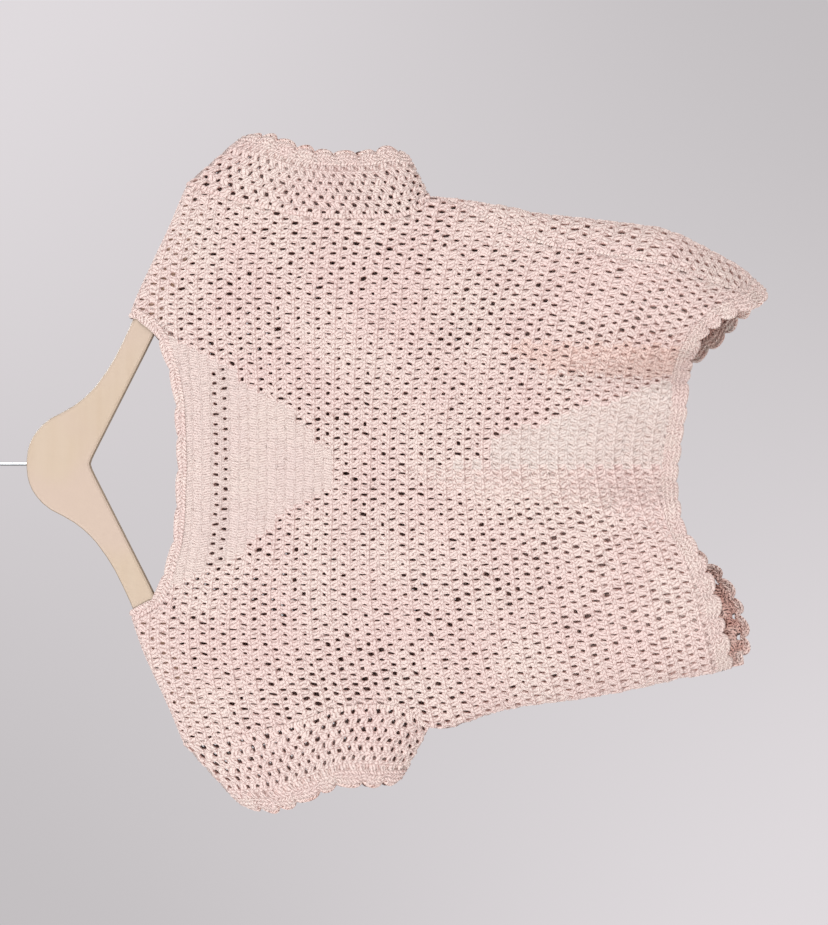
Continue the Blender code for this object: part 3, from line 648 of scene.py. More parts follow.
def inside(patch, x, drop):
    """Which places are in a patch of the front."""
    in_reach = (drop > patch[0].drop) & (drop < patch[-1].drop)
    return in_reach & (x > curve_of(patch, "left")(drop)) & (x < curve_of(patch, "right")(drop))


EDGE_MARGIN = 0.5           # how far a hole keeps from the edges


def panel_cells(side):
    """What each cell of a panel is, and how large its hole is."""
    rng = np.random.default_rng(SEED)
    r, c = np.meshgrid(np.arange(ROW_COUNT), np.arange(*PANEL_CELLS), indexing="ij")
    down, aside = LATTICE_SHIFT[side]

    def at(u, v):
        """The share, the drop and the x of one place of every cell."""
        share, drop = cloth_place(side, r + v + down, (c + 0.5 * (r % 2) + u + aside) * STITCH_WIDTH[side])
        return share, drop, on_panel(side, np.clip(share, 0, 1), drop)[..., 0]

    def beyond(high, low, margin):
        """Which cells have a high place over the panel's top edge or a low one under its hem."""
        (_, top, top_x), (_, bottom, bottom_x) = at(0.5, high), at(0.5, low)
        return (top < top_edge(top_x) + margin) | (bottom > HEM_AT[side](bottom_x) - margin)

    share, drop, x = at(0.5, 0.5)
    left, right = at(0.04, 0.5)[0], at(0.96, 0.5)[0]
    kinds = np.full(r.shape, HOLE)
    kinds[(left < 0) | (right > 1) | beyond(0.1, 0.9, EDGE_MARGIN)] = CLOSED
    behind = on_panel(side, np.clip(share, 0, 1), drop)[..., 1] > 0
    sizes = hole_sizes(x, drop, np.where(behind, BACK_HOLE_SCALE, 1.0), rng)
    if side == "front":
        in_bib, in_gusset, in_shaded_crease = (inside(patch, x, drop) for patch in (BIB, GUSSET, SHADED_CREASE))
        kinds[in_bib] = DENSE
        eyelet = np.isin(r, EYELET_ROWS) & (x > EYELET_REACH[0]) & (x < EYELET_REACH[1]) & in_bib
        kinds[eyelet] = EYELET
        sizes[eyelet] = np.maximum(sizes[eyelet], EYELET_SIZE)
        # Closely worked cells; right of the fold's valley they take the bright yarn, painted light on the
        # flank that faces the key light
        kinds[in_gusset] = np.where(x > LIT_GUSSET_LEFT, LIT_GUSSET, CLOSED)[in_gusset]
        pinched = (drop > PINCH_DROP) & (np.abs(x - PINCH_MIDDLE) < PINCH_HALF_WIDTH)
        kinds[in_shaded_crease & (kinds == HOLE)] = SHADED_CREASE_HOLE
        kinds[in_shaded_crease & (pinched | (kinds == CLOSED))] = SHADED_CREASE_CLOSED
    kinds[(right < 0) | (left > 1) | beyond(1.0, 0.0, 0.0)] = NO_CELL
    return kinds, sizes


def add_panel(side, looks):
    """The front or the back."""
    pitch = STITCH_WIDTH[side]
    down, aside = LATTICE_SHIFT[side]

    def to_points(rows, across, height):
        return panel_points(side, rows + down, across + aside * pitch, height)

    return add_net(side + "_net", *panel_cells(side), PANEL_CELLS[0], pitch, to_points, looks)


# ---- Sleeves ----

SLEEVE_ROWS = 7
SLEEVE_PITCH = 8.7
ROUND_STEPS = 240
PAD = 3                     # entries of a round table that are kept twice, at each end
SLEEVE_SIDES = {"left": (0.0, -SHOULDER_HALF_WIDTH), "right": (1.0, SHOULDER_HALF_WIDTH)}
HALF_SLEEVE_POINTS, SLEEVE_LENGTH_POINTS = 121, 9
SLEEVE_HOLES = table("size spread", (2.7, 0.25), (3.6, 0.2))    # their widths and their heights
SLEEVE_BACK_SCALE = 0.5     # of the unseen holes of a sleeve's back


class Skin:
    """A cloth tube: points round it by rows along it, and its outward directions."""

    def __init__(self, points, outward):
        self.points = np.concatenate([points[-PAD:], points, points[:PAD + 1]])
        around = np.gradient(self.points, axis=0)
        along = np.gradient(self.points, axis=1)
        self.normals = unit(np.cross(around, along)) * outward
        self.steps = len(points)
        self.rows = points.shape[1] - 1

    def place(self, turn, down, height):
        """Points at turns round the tube, from 0 to 1, and shares of the way down it."""
        at = PAD + (turn % 1.0) * self.steps, down * self.rows
        return sample(self.points, *at) + unit(sample(self.normals, *at)) * np.asarray(height)[..., None]


def even_ring(points, measure, count):
    """A closed row of points, spaced evenly along another closed row."""
    lengths = lengths_along(np.concatenate([measure, measure[:1]]))
    return points_at(np.arange(count) / count * lengths[-1], lengths, np.concatenate([points, points[:1]]))


def cuff_points(which, side, share):
    """Points of a cuff's seam, between its top fold and its underarm fold."""
    x, drop = (curve_of(CUFFS[which], column)(share) for column in ("x", "drop"))
    depth = CUFF_HALF_DEPTH * np.sqrt(np.maximum(0.0, 1 - np.abs(2 * share - 1) ** CUFF_ROUNDNESS))
    return np.stack([x, OUTWARD[side] * depth, -drop], -1)


def sleeve_skin(which):
    """A sleeve, straight from the armhole's edge to the cuff's, and its length round its middle."""
    share, edge_x = SLEEVE_SIDES[which]
    top = float(RIDGE_AT(edge_x))
    down = eased(np.linspace(0.0, 1.0, HALF_SLEEVE_POINTS))
    drops = top + (UNDERARM_DROP - top) * down
    halves = []
    for side in OUTWARD:
        armhole = on_panel(side, np.full(len(drops), share), drops)
        armhole[:, 0] = LEVEL_AT[which](drops)
        halves.append((armhole, cuff_points(which, side, down)))
    armhole, cuff = (np.concatenate([front, back[-2:0:-1]]) for front, back in zip(*halves))
    middle = (armhole + cuff) / 2
    armhole, cuff = (even_ring(ring, middle, ROUND_STEPS)[:, None] for ring in (armhole, cuff))
    steps = np.linspace(0.0, 1.0, SLEEVE_LENGTH_POINTS)[None, :, None]
    outward = 1.0 if which == "right" else -1.0
    return Skin(armhole * (1 - steps) + cuff * steps, outward), lengths_along(middle)[-1]


def add_sleeve(which, skin, around, looks):
    """A short sleeve, worked round in open rows, the last one closed."""
    count = round(around / SLEEVE_PITCH)
    rng = np.random.default_rng(SEED + len(which))
    kinds = np.full((SLEEVE_ROWS, count), HOLE)
    kinds[-1] = CLOSED
    spreads = (rng.normal(0, hole.spread, kinds.shape) for hole in SLEEVE_HOLES)
    sizes = np.stack([hole.size * np.exp(spread) for hole, spread in zip(SLEEVE_HOLES, spreads)], -1)
    sizes[:, count // 2:] *= SLEEVE_BACK_SCALE

    def to_points(rows, across, height):
        return skin.place(across / SLEEVE_PITCH / count, np.clip(rows / SLEEVE_ROWS, 0, 1), height)

    return add_net("sleeve_net_" + which, kinds, sizes, 0, SLEEVE_PITCH, to_points, looks, closed=True)


# ---- Edgings ----

NECK_EDGING, CUFF_EDGING, HEM_EDGING = table(
    "width depth pitch ridges curl flat_reach lined",
    (8.5, 2.4, 28.0, 2, 0.0, 0.0, False),
    (13.5, 5.0, 18.0, 4, 2.8, 0.0, False),
    (13.5, 6.0, 17.0, 4, 0.4, 50.0, True),
)
EDGING_OVERLAP = 1.2        # how far an edging's base lies on the cloth
BRAID_PITCH = 4.2
PATH_STEPS = 900


class Border:
    """An edge or a seam of the cloth: points, the way across it in the cloth, and outward directions."""

    def __init__(self, points, away, normals, closed=True):
        self.closed = closed
        if closed:
            points, away, normals = (np.concatenate([part, part[:1]]) for part in (points, away, normals))
        lengths = lengths_along(points)
        self.length = lengths[-1]
        places = np.linspace(0.0, self.length, PATH_STEPS + 1)
        points, away, normals = (points_at(places, lengths, part) for part in (points, away, normals))
        self.rows = points, unit(away), unit(normals)

    def place(self, along, out, height):
        """Points at distances along the edge and away from it."""
        share = along / self.length
        share = share % 1.0 if self.closed else np.clip(share, 0.0, 1.0)
        places = np.linspace(0.0, 1.0, PATH_STEPS + 1)
        base, away, normal = (points_at(share, places, row) for row in self.rows)
        return base + away * out[..., None] + normal * height[..., None]


RING_KERNEL = np.hanning(15)[1:-1]
SIDE_KERNEL = np.ones(11)
EDGE_POINTS = 400
INWARD_STEP = 8.0
SLEEVE_STEP = 0.2           # the share of a sleeve's length over which its edges' ways are taken
SIDE_END_DROP = 640.0       # below both ends of the side seams
SHOULDER_SEAM_POINTS, SIDE_SEAM_POINTS = 60, 200


def smoothed(ways, kernel, closed=True):
    """Directions along a row without their small turns."""
    reach = len(kernel) // 2
    before, after = (ways[-reach:], ways[:reach]) if closed else ([ways[0]] * reach, [ways[-1]] * reach)
    padded = np.concatenate([before, ways, after])
    return unit(np.stack([np.convolve(padded[:, k], kernel, "valid") for k in range(3)], 1))


def panel_border(shares, drops, inward):
    """The closed edge over the front, from left to right, and back again over the back."""
    blocks = []
    for side in OUTWARD:
        block = [on_panel(side, shares, drops[side] + step) for step in (0.0, inward)]
        block.append(panel_normal(side, shares, drops[side]))
        blocks.append(block if side == "front" else [part[::-1][1:-1] for part in block])
    points, inner, normals = (np.concatenate(parts) for parts in zip(*blocks))
    square = unit(np.cross(normals, np.roll(points, -1, 0) - np.roll(points, 1, 0)))
    square *= np.sign(np.sum(square * (points - inner)))
    return Border(points, smoothed(square, RING_KERNEL), smoothed(normals, RING_KERNEL))


def neck_border():
    """The neck's edge."""
    x = np.linspace(-NECK_HALF_WIDTH, NECK_HALF_WIDTH, EDGE_POINTS)
    drops = {side: NECK_AT(np.abs(x)) for side in OUTWARD}
    return panel_border(0.5 + x / (2 * SHOULDER_HALF_WIDTH), drops, INWARD_STEP)


def hem_border():
    """The hem's edge."""
    shares = np.linspace(0.0, 1.0, EDGE_POINTS)
    drops = {side: np.full(EDGE_POINTS, HEM_DROP) for side in OUTWARD}
    for side in OUTWARD:
        for _ in range(2 * SETTLING_TURNS):
            drops[side] = (drops[side] + HEM_AT[side](on_panel(side, shares, drops[side])[:, 0])) / 2
    return panel_border(shares, drops, -INWARD_STEP)


def skin_border(skin, edge, high, low):
    """An edge of a sleeve, at a share of its way down, and the way across it from high to low."""
    turn = np.arange(ROUND_STEPS) / ROUND_STEPS

    def ring(share, height=0.0):
        return skin.place(turn, np.full(ROUND_STEPS, share), np.full(ROUND_STEPS, height))

    return Border(ring(edge), unit(ring(low) - ring(high)), unit(ring(edge, 1.0) - ring(edge)))


def shoulder_border(way):
    """A shoulder's seam, along the ridge over the hanger."""
    x = np.linspace(NECK_HALF_WIDTH, SHOULDER_HALF_WIDTH, SHOULDER_SEAM_POINTS) * way
    points = np.stack([x, 0 * x, -RIDGE_AT(x)], 1)
    step = np.gradient(points, axis=0)
    normals = unit(np.stack([-step[:, 2], 0 * x, step[:, 0]], 1) * way)
    return Border(points, np.tile([0.0, 1.0, 0.0], (len(x), 1)), normals, False)


def side_border(share):
    """A side seam, from the underarm to the hem."""
    drops = np.linspace(UNDERARM_DROP, SIDE_END_DROP, SIDE_SEAM_POINTS)
    shares = np.full(len(drops), share)
    points = on_panel("front", shares, drops)
    kept = drops < HEM_AT["front"](points[:, 0])
    points, normals = points[kept], panel_normal("front", shares, drops)[kept]
    away = unit(np.cross(np.gradient(points, axis=0), normals))
    return Border(points, away, smoothed(normals, SIDE_KERNEL, False), False)


def grid_faces(columns, rows, closed):
    """The faces of a grid whose points come column by column."""
    faces = []
    for i in range(columns if closed else columns - 1):
        here, there = i * rows, (i + 1) % columns * rows
        faces += [(here + j, here + j + 1, there + j + 1, there + j) for j in range(rows - 1)]
    return faces


SCALLOP_COLUMNS = 20
SCALLOP_JITTER = 0.07       # of the places where one scallop ends and the next begins, in scallops
SCALLOP_LEAN = 0.22         # how far each scallop's tip lies off its middle
FLAT_FADE = 40.0            # over which shallow scallops become deep ones
EDGING_RIDGE, EDGING_FURROW = 1.1, 0.1
LINING_DEPTH = 0.9          # how far the back hem's inner side lies inside its outer side at the tips
LINING_REACH = 13.0         # how far up the back that inner side reaches, a sheet of painted shade over the back's inner side
LINING_LESS_SHADE_LEFT = 0.6      # the share of the way to the tips beyond which its painted shade is lighter
LINING_LIT_RIGHT = 0.25    # the same on the right, where it turns towards the light and takes painted light
CURLED_SHARE = 0.84         # of the way to a cuff's tips, beyond which they curl back to show their inner side, with painted shade
SLIT_SHARE = 0.7            # of those scallops of the back hem that may have a slit beside them
SLIT_START, SLIT_STEPS, SLIT_COLUMNS = (4, 7), (1, 4), (0, 3)
FLAT_DEPTH, FLAT_NARROWING = 0.35, 0.15         # of shallow scallops
DEPTH_SPREAD, WIDTH_SPREAD = (0.75, 1.2), (0.97, 1.03)
EDGE, SHADED, TIP, LIT = range(4)               # an edging's looks: its own yarn, painted shade, lighter painted shade and painted light
RELIEF_SPREAD = 0.1
EDGE_TURN = -0.4            # the height of an edging's outermost points
WAIST, WAIST_DEPTH = 0.15, 4.0      # how much narrower scallops are half way out, in full from a depth of 4
NOTCH_DEPTH, NOTCH_REACH = 0.9, 0.05            # of the furrow between two scallops
CURL_START = 0.55           # the share of the way to the tips at which they begin to curl
YARN_SPREAD = 0.05          # of the places where an edging's yarn changes
SEAM_OUT = np.array([-1.0, -0.75, -0.3, 0.3, 0.75, 1.0])
SEAM_RISE = np.array([-0.4, 0.65, 1.0, 1.0, 0.65, -0.4])
LINK_WAIST = 0.75
# The half width and the rise of a seam's chain
ARMHOLE_CHAIN, SHOULDER_CHAIN, SIDE_CHAIN = (2.2, 1.5), (1.3, 0.9), (1.3, 0.1)


def add_seam(name, border, half_width, rise, looks):
    """A raised chain of stitches along a seam."""
    links = max(2, round(border.length / BRAID_PITCH))
    count = links * 4 + (0 if border.closed else 1)
    phase = np.arange(count) / 4
    along = phase / links * border.length
    link = LINK_WAIST + (1 - LINK_WAIST) * np.abs(np.sin(np.pi * phase))
    out = half_width * SEAM_OUT[None] * link[:, None]
    height = rise * SEAM_RISE[None] * link[:, None]
    points = border.place(along[:, None] + 0 * out, out, height).reshape(-1, 3)
    uv = np.stack([phase[:, None] / 2 + 0 * out, 0.5 + 0 * out], -1).reshape(-1, 2)
    return add_mesh(name, points, grid_faces(count, len(SEAM_OUT), border.closed), looks, uv)


def slit_faces(behind, steps, rng):
    """Which faces of an edging are left out, so that light shows between the scallops of the back."""
    gone = set()
    for scallop in np.nonzero(behind & (rng.random(len(behind)) < SLIT_SHARE))[0]:
        last = int(scallop + 1) * SCALLOP_COLUMNS - 1
        first_step = int(rng.integers(*SLIT_START))
        last_step = first_step + int(rng.integers(*SLIT_STEPS))
        for column in range(last - rng.integers(*SLIT_COLUMNS), last + 1 + rng.integers(*SLIT_COLUMNS)):
            for step in range(first_step, last_step + 1):
                gone.add(column % (len(behind) * SCALLOP_COLUMNS) * (steps - 1) + step)
    return gone


def scallop_tips(edging, deep, across, number, rng):
    """How far an edging reaches out at each of its columns."""
    depth = edging.depth * (FLAT_DEPTH + (1 - FLAT_DEPTH) * deep) * rng.uniform(*DEPTH_SPREAD, len(deep))
    width = edging.width - FLAT_NARROWING * edging.depth * (1 - deep)
    width = width * rng.uniform(*WIDTH_SPREAD, len(deep))
    aside = 2 * across
    aside = aside - SCALLOP_LEAN * (1 - aside ** 2)
    return width[number] - depth[number] * (1 - np.sqrt(1 - np.minimum(1.0, aside ** 2)))


def add_edging(name, border, edging, looks):
    """Ridges of stitches along an edge, that swell into scallops.

    Within an edging's flat reach from the middle of the front its scallops are shallow. A lined edging has
    an inner side over the back, with painted shade that turns lighter towards the tips, to painted light on
    the right, and slits between the scallops there.
    """
    count = round(border.length / edging.pitch)
    rng = np.random.default_rng(SEED + count)
    starts = (np.arange(count + 1) + rng.normal(0, SCALLOP_JITTER, count + 1)) * border.length / count
    starts[-1] = starts[0] + border.length
    spans = np.diff(starts)
    middle = border.place(starts[:-1] + spans / 2, np.zeros(count), np.zeros(count))
    on_right, behind = (middle[:, k] > 0 for k in range(2))
    deep = np.ones(count)
    if edging.flat_reach:
        deep = np.where(behind, 1.0, eased((np.abs(middle[:, 0]) - edging.flat_reach) / FLAT_FADE))
    number = np.repeat(np.arange(count), SCALLOP_COLUMNS)
    across = np.tile((np.arange(SCALLOP_COLUMNS) + 0.5) / SCALLOP_COLUMNS - 0.5, count)
    tip = scallop_tips(edging, deep, across, number, rng)[:, None]
    across = across[:, None]
    quarters = 4 * edging.ridges
    steps = np.arange(quarters + 1)[None] / quarters
    waist = WAIST * min(1.0, edging.depth / WAIST_DEPTH) * np.sin(np.pi * steps) ** 2
    along = starts[number][:, None] + (0.5 + across * (1 - waist)) * spans[number][:, None]
    relief = EDGING_FURROW + (EDGING_RIDGE - EDGING_FURROW) * np.abs(np.sin(np.pi * edging.ridges * steps))
    relief = relief + rng.normal(0, RELIEF_SPREAD, along.shape)
    relief[:, -1] = EDGE_TURN
    notch = NOTCH_DEPTH * np.exp(-((0.5 - np.abs(across)) / NOTCH_REACH) ** 2) * eased(steps * 1.5 - 0.3)
    away = notch + edging.curl * eased((steps - CURL_START) / (1 - CURL_START))
    out = -EDGING_OVERLAP + (tip + EDGING_OVERLAP) * steps
    points = border.place(along, out, relief - away).reshape(-1, 3)
    uv = np.stack([along / STITCH_WIDTH["front"], edging.ridges * steps + 0 * out], -1).reshape(-1, 2)
    faces = np.array(grid_faces(len(across), quarters + 1, True))
    way_out = np.tile((np.arange(quarters) + 0.5) / quarters, len(across))
    way_out = way_out + np.repeat(rng.normal(0, YARN_SPREAD, len(across)), quarters)
    # A cuff's curled tips take the tip yarn: painted shade
    kinds = np.where((edging.curl > 1.0) & (way_out > CURLED_SHARE), TIP, EDGE)
    if edging.lined:
        inner_out = np.where(steps > 0, out, -LINING_REACH)
        inner = border.place(along, inner_out, -LINING_DEPTH * (2 - steps) - relief - away).reshape(-1, 3)
        gone = slit_faces(behind & ~on_right, quarters + 1, rng)
        kept = np.setdiff1d(np.arange(len(faces)), list(gone))
        on_right, behind = (np.repeat(part[number], quarters) for part in (on_right, behind))
        lined = kept[behind[kept]]
        # The lining: painted shade near the front hem, turning to lighter painted shade on the left and to
        # painted light on the right towards the tips
        pale = way_out > np.where(on_right, LINING_LIT_RIGHT, LINING_LESS_SHADE_LEFT)
        lining_kinds = np.where(pale, np.where(on_right, LIT, TIP), SHADED)
        kinds = np.concatenate([kinds[kept], lining_kinds[lined]])
        faces = np.concatenate([faces[kept], faces[lined][:, ::-1] + len(points)])
        used, faces = np.unique(faces, return_inverse=True)
        points, uv = np.concatenate([points, inner])[used], np.concatenate([uv, uv])[used]
    return add_mesh(name, points, faces.reshape(-1, 4).tolist(), looks, uv, kinds)


# ---- Materials ----


def srgb(r, g, b):
    """A colour from the values that a picture shows."""
    linear = (((v / 255 + 0.055) / 1.055) ** 2.4 if v > 10 else v / 255 / 12.92 for v in (r, g, b))
    return (*linear, 1.0)


class Shading:
    """Builds a tree of shader nodes: each call adds a node for a sum and gives its result."""

    def __init__(self, tree):
        self.nodes, self.links = tree.nodes, tree.links

    def source(self, kind, output):
        """One result of a node that has no inputs."""
        return self.nodes.new(kind).outputs[output]

    def parts(self, vector):
        """The results X, Y and Z of a vector."""
        node = self.nodes.new("ShaderNodeSeparateXYZ")
        self.links.new(vector, node.inputs["Vector"])
        return node.outputs

    def __call__(self, operation, *values):
        node = self.nodes.new("ShaderNodeMath")
        node.operation = operation
        for socket, value in zip(node.inputs, values):
            self.feed(socket, value)
        return node.outputs[0]

    def feed(self, socket, value):
        """Gives an input a number, a colour or the result of another node."""
        if isinstance(value, (int, float, tuple)):
            socket.default_value = value
        else:
            self.links.new(value, socket)

    def between(self, value, low, high):
        """0 where the value is below low, 1 above high, and smooth between them."""
        node = self.nodes.new("ShaderNodeMapRange")
        node.interpolation_type = "SMOOTHSTEP"
        node.inputs["From Min"].default_value = low
        node.inputs["From Max"].default_value = high
        self.links.new(value, node.inputs["Value"])
        return node.outputs["Result"]

    def mixed(self, share, first, second):
        """A number between two others."""
        return self("MULTIPLY_ADD", share, self("SUBTRACT", second, first), first)

    def colour(self, share, first, second):
        """A colour between two others, each a colour or a result."""
        node = self.nodes.new("ShaderNodeMix")
        node.data_type = "RGBA"
        self.links.new(share, node.inputs["Factor"])
        self.feed(node.inputs["A"], first)
        self.feed(node.inputs["B"], second)
        return node.outputs["Result"]

    def arches(self, value):
        """A row of arches, one for each 1 of the value, from 0 up to 1 and down again."""
        return self("ABSOLUTE", self("SINE", self("MULTIPLY", value, math.pi)))

    def noise(self, vector, scale, detail=2.0):
        """A cloudy pattern."""
        node = self.nodes.new("ShaderNodeTexNoise")
        node.inputs["Scale"].default_value = scale
        node.inputs["Detail"].default_value = detail
        self.links.new(vector, node.inputs["Vector"])
        return node.outputs["Fac"]

    def bump(self, height, strength, distance):
        """The directions of a surface with fine relief."""
        node = self.nodes.new("ShaderNodeBump")
        node.inputs["Strength"].default_value = strength
        node.inputs["Distance"].default_value = distance
        self.links.new(height, node.inputs["Height"])
        return node.outputs["Normal"]


def new_material(name, **inputs):
    """A material and its tree, with some of its shader's inputs set."""
    look = bpy.data.materials.new(name)
    look.use_nodes = True
    shading = Shading(look.node_tree)
    feed_shader(shading, **inputs)
    return look, shading


def feed_shader(shading, **inputs):
    """Sets inputs of a material's shader, whose names have _ for a space."""
    shader = shading.nodes["Principled BSDF"]
    for name, value in inputs.items():
        shading.feed(shader.inputs[name.replace("_", " ")], value)


Yarn = namedtuple("Yarn", (
    "shade",                # the painted shade between strands
    "base", "light",        # the colours of the strands, mixed in clouds
    "strands", "links",     # in a stitch, side by side, and along the chain between rows
    "lean",                 # of the strands
    "line_width", "gap",    # of the chain and of the painted shade line beside it, in rows
    "fine",                 # how many strands are as wide as one
    "shadow",               # of the painted shadow under each ridge
    "speckle",
    "clouds",               # in a metre
), defaults=(3, 2, 1.2, 0.15, 0.05, 1, 0.4, 1.6, 18))
# The coarse grain of the painted shade and light on the back hem's inner side and the cuffs' curled tips
PAINTED_SHADE_GRAIN = {"strands": 2.5, "links": 2.2, "gap": 0.08, "shadow": 0, "speckle": 4.2, "clouds": 120}
YARNS = {
    "open": Yarn((188, 156, 151), (236, 215, 211), (238, 223, 217)),
    "close": Yarn((203, 181, 176), (230, 213, 209), (232, 217, 211), 2, 1, 0.8, 0.08, 0.05, 2, 0, 4),
    # lighter and creamier: painted light on the gusset's flank that faces the key light
    "bright": Yarn((198, 176, 170), (232, 218, 213), (233, 222, 217), shadow=0.2),
    # browner and darker: painted shade on the walls inside the holes
    "deep": Yarn((160, 122, 114), (206, 176, 169), (210, 182, 175), shadow=0),
    # pinker and darker: painted shade in the fold beside the gusset
    "crease": Yarn((186, 150, 142), (234, 209, 201), (238, 215, 208)),
    "edge": Yarn((186, 153, 147), (236, 215, 211), (239, 224, 218), shadow=0, speckle=2.2, clouds=60),
    # Painted shade and light: shaded near the front hem on the back hem's inner side, tip as lighter
    # painted shade on the curled cuff tips and the left of that inner side, lit as painted light on its
    # right
    "shaded": Yarn((74, 34, 27), (218, 170, 159), (252, 220, 211), **PAINTED_SHADE_GRAIN),
    "tip": Yarn((132, 88, 78), (240, 208, 200), (252, 234, 228), **PAINTED_SHADE_GRAIN),
    "lit": Yarn((188, 140, 130), (255, 228, 220), (255, 246, 240), **PAINTED_SHADE_GRAIN),
}
EDGE_YARNS = ("edge", "shaded", "tip", "lit")
# The wood's colours; edge is painted shade on the hanger's turned edges
WOOD = {"base": (205, 189, 171), "dark": (200, 182, 162), "blush": (204, 186, 172), "edge": (158, 141, 121)}
BRIGHT_STEEL, DULL_STEEL = (196, 201, 205), (166, 174, 180)
FLOOR_COLOUR = (215, 212, 210)
WANDER_SCALE, TWIST_SCALE, SHADOW_SCALE = 260.0, 900.0, 90.0    # patches in a metre
WANDER_ACROSS, WANDER_DOWN = 0.6, 0.16                          # in stitches and in rows
YARN_RELIEF, WOOD_RELIEF = (0.7, 0.0007), (0.06, 0.0003)


def strand_pattern(calc, across, rows, yarn):
    """The height of the yarn: upright leaning strands in each row, and a chain along each line of rows."""
    odd = calc("PINGPONG", calc("FLOOR", rows), 1.0)
    way = calc("MULTIPLY_ADD", odd, 2.0, -1.0)
    down = calc("FRACT", rows)
    slant = calc("MULTIPLY", calc("MULTIPLY", calc("SUBTRACT", down, 0.5), way), yarn.lean)
    start = calc("MULTIPLY_ADD", odd, -0.5, across)
    strand = calc.arches(calc("MULTIPLY_ADD", start, yarn.strands, slant))
    from_line = calc("PINGPONG", rows, 0.5)
    chain = calc.arches(calc("MULTIPLY_ADD", across, yarn.links, calc("MULTIPLY", from_line, 3.0)))
    in_row = calc.between(from_line, yarn.line_width * 0.8, yarn.line_width)
    beside = calc.between(calc("ABSOLUTE", calc("SUBTRACT", from_line, yarn.line_width)), 0.0, yarn.gap)
    return calc("MULTIPLY", calc.mixed(in_row, chain, strand), calc.mixed(beside, 0.35, 1.0))


def ridge_shadow(calc, rows, place, strength):
    """1, and less in soft patches of painted shadow under each ridge."""
    below_ridge = calc("MULTIPLY", calc("FRACT", calc("MULTIPLY", rows, 0.5)), 2.0)
    shadow = calc("MULTIPLY", calc.between(below_ridge, 0.06, 0.13), calc.between(below_ridge, 0.3, 0.2))
    shadow = calc("MULTIPLY", shadow, calc.between(calc.noise(place, SHADOW_SCALE, 1.0), 0.35, 0.65))
    return calc("MULTIPLY_ADD", shadow, -strength, 1.0)


def cotton(name, yarn):
    """Matt cotton yarn, crocheted: strands and chains in three tones, with a fine twist, and painted shade
    between the strands.
    """
    look, calc = new_material(
        name, Roughness=0.92, Specular_IOR_Level=0.2, Sheen_Weight=0.15, Sheen_Roughness=0.5
    )
    place = calc.source("ShaderNodeTexCoord", "Object")
    stitches = calc.nodes.new("ShaderNodeUVMap")
    stitches.uv_map = "stitches"
    parts = calc.parts(stitches.outputs["UV"])
    wander = calc("SUBTRACT", calc.noise(place, WANDER_SCALE), 0.5)
    across = calc("MULTIPLY_ADD", wander, WANDER_ACROSS, calc("MULTIPLY", parts["X"], yarn.fine))
    rows = calc("MULTIPLY_ADD", wander, WANDER_DOWN, parts["Y"])
    yarn_height = strand_pattern(calc, across, rows, yarn)
    twist = calc.noise(place, TWIST_SCALE)
    clouds = calc.between(calc.noise(place, yarn.clouds, 3.0), 0.3, 0.7)
    tone = calc.colour(clouds, srgb(*yarn.base), srgb(*yarn.light))
    speckled = calc("MULTIPLY_ADD", calc("SUBTRACT", twist, 0.5), yarn.speckle, yarn_height)
    # Painted shade: the shade colour fills the grooves between strands, and a painted shadow lies under
    # each ridge
    depth = calc("MULTIPLY", calc.between(speckled, 0.0, 0.6), ridge_shadow(calc, rows, place, yarn.shadow))
    relief = calc.bump(calc("MULTIPLY_ADD", twist, 0.5, yarn_height), *YARN_RELIEF)
    feed_shader(calc, Base_Color=calc.colour(depth, srgb(*yarn.shade), tone), Normal=relief)
    return look


def wooden(name, base, dark, blush, edge):
    """Pale varnished wood with a faint grain along X and a blush, and painted shade on the edges that turn
    away from the front and the back.
    """
    look, calc = new_material(name, Roughness=0.5, Specular_IOR_Level=0.25)
    place = calc.source("ShaderNodeTexCoord", "Object")
    stretched = calc.nodes.new("ShaderNodeMapping")
    stretched.inputs["Scale"].default_value = (5.0, 40.0, 60.0)
    calc.links.new(place, stretched.inputs["Vector"])
    grain = calc.noise(stretched.outputs["Vector"], 2.2, 5.0)
    tone = calc.colour(calc.between(grain, 0.2, 0.9), srgb(*base), srgb(*dark))
    tone = calc.colour(calc.between(calc.noise(place, 14.0, 1.0), 0.4, 0.62), tone, srgb(*blush))
    turned = calc.parts(calc.source("ShaderNodeNewGeometry", "Normal"))
    # Painted shade: faces that turn away from the front and the back take the darker edge colour
    flat = calc.between(calc("ABSOLUTE", turned["Y"]), 0.6, 0.995)
    relief = calc.bump(grain, *WOOD_RELIEF)
    feed_shader(calc, Base_Color=calc.colour(flat, srgb(*edge), tone), Normal=relief)
    return look


def drawn_wire(name, bright, dull):
    """Steel wire with dull patches."""
    look, calc = new_material(name, Metallic=1.0)
    place = calc.source("ShaderNodeTexCoord", "Object")
    patches = calc.between(calc.noise(place, 220.0, 3.0), 0.35, 0.75)
    colour = calc.colour(patches, srgb(*bright), srgb(*dull))
    feed_shader(calc, Base_Color=colour, Roughness=calc("MULTIPLY_ADD", patches, 0.08, 0.13))
    return look


# ---- The stage ----

PIXEL = 0.79                # millimetres of the garment's plane in one pixel of the photograph
IMAGE_HEIGHT = 925
CAMERA_DISTANCE = 2600.0
SENSOR_HEIGHT = 36.0
VIEW_MIDDLE_X, VIEW_MIDDLE_DROP = 1.2, 367.7


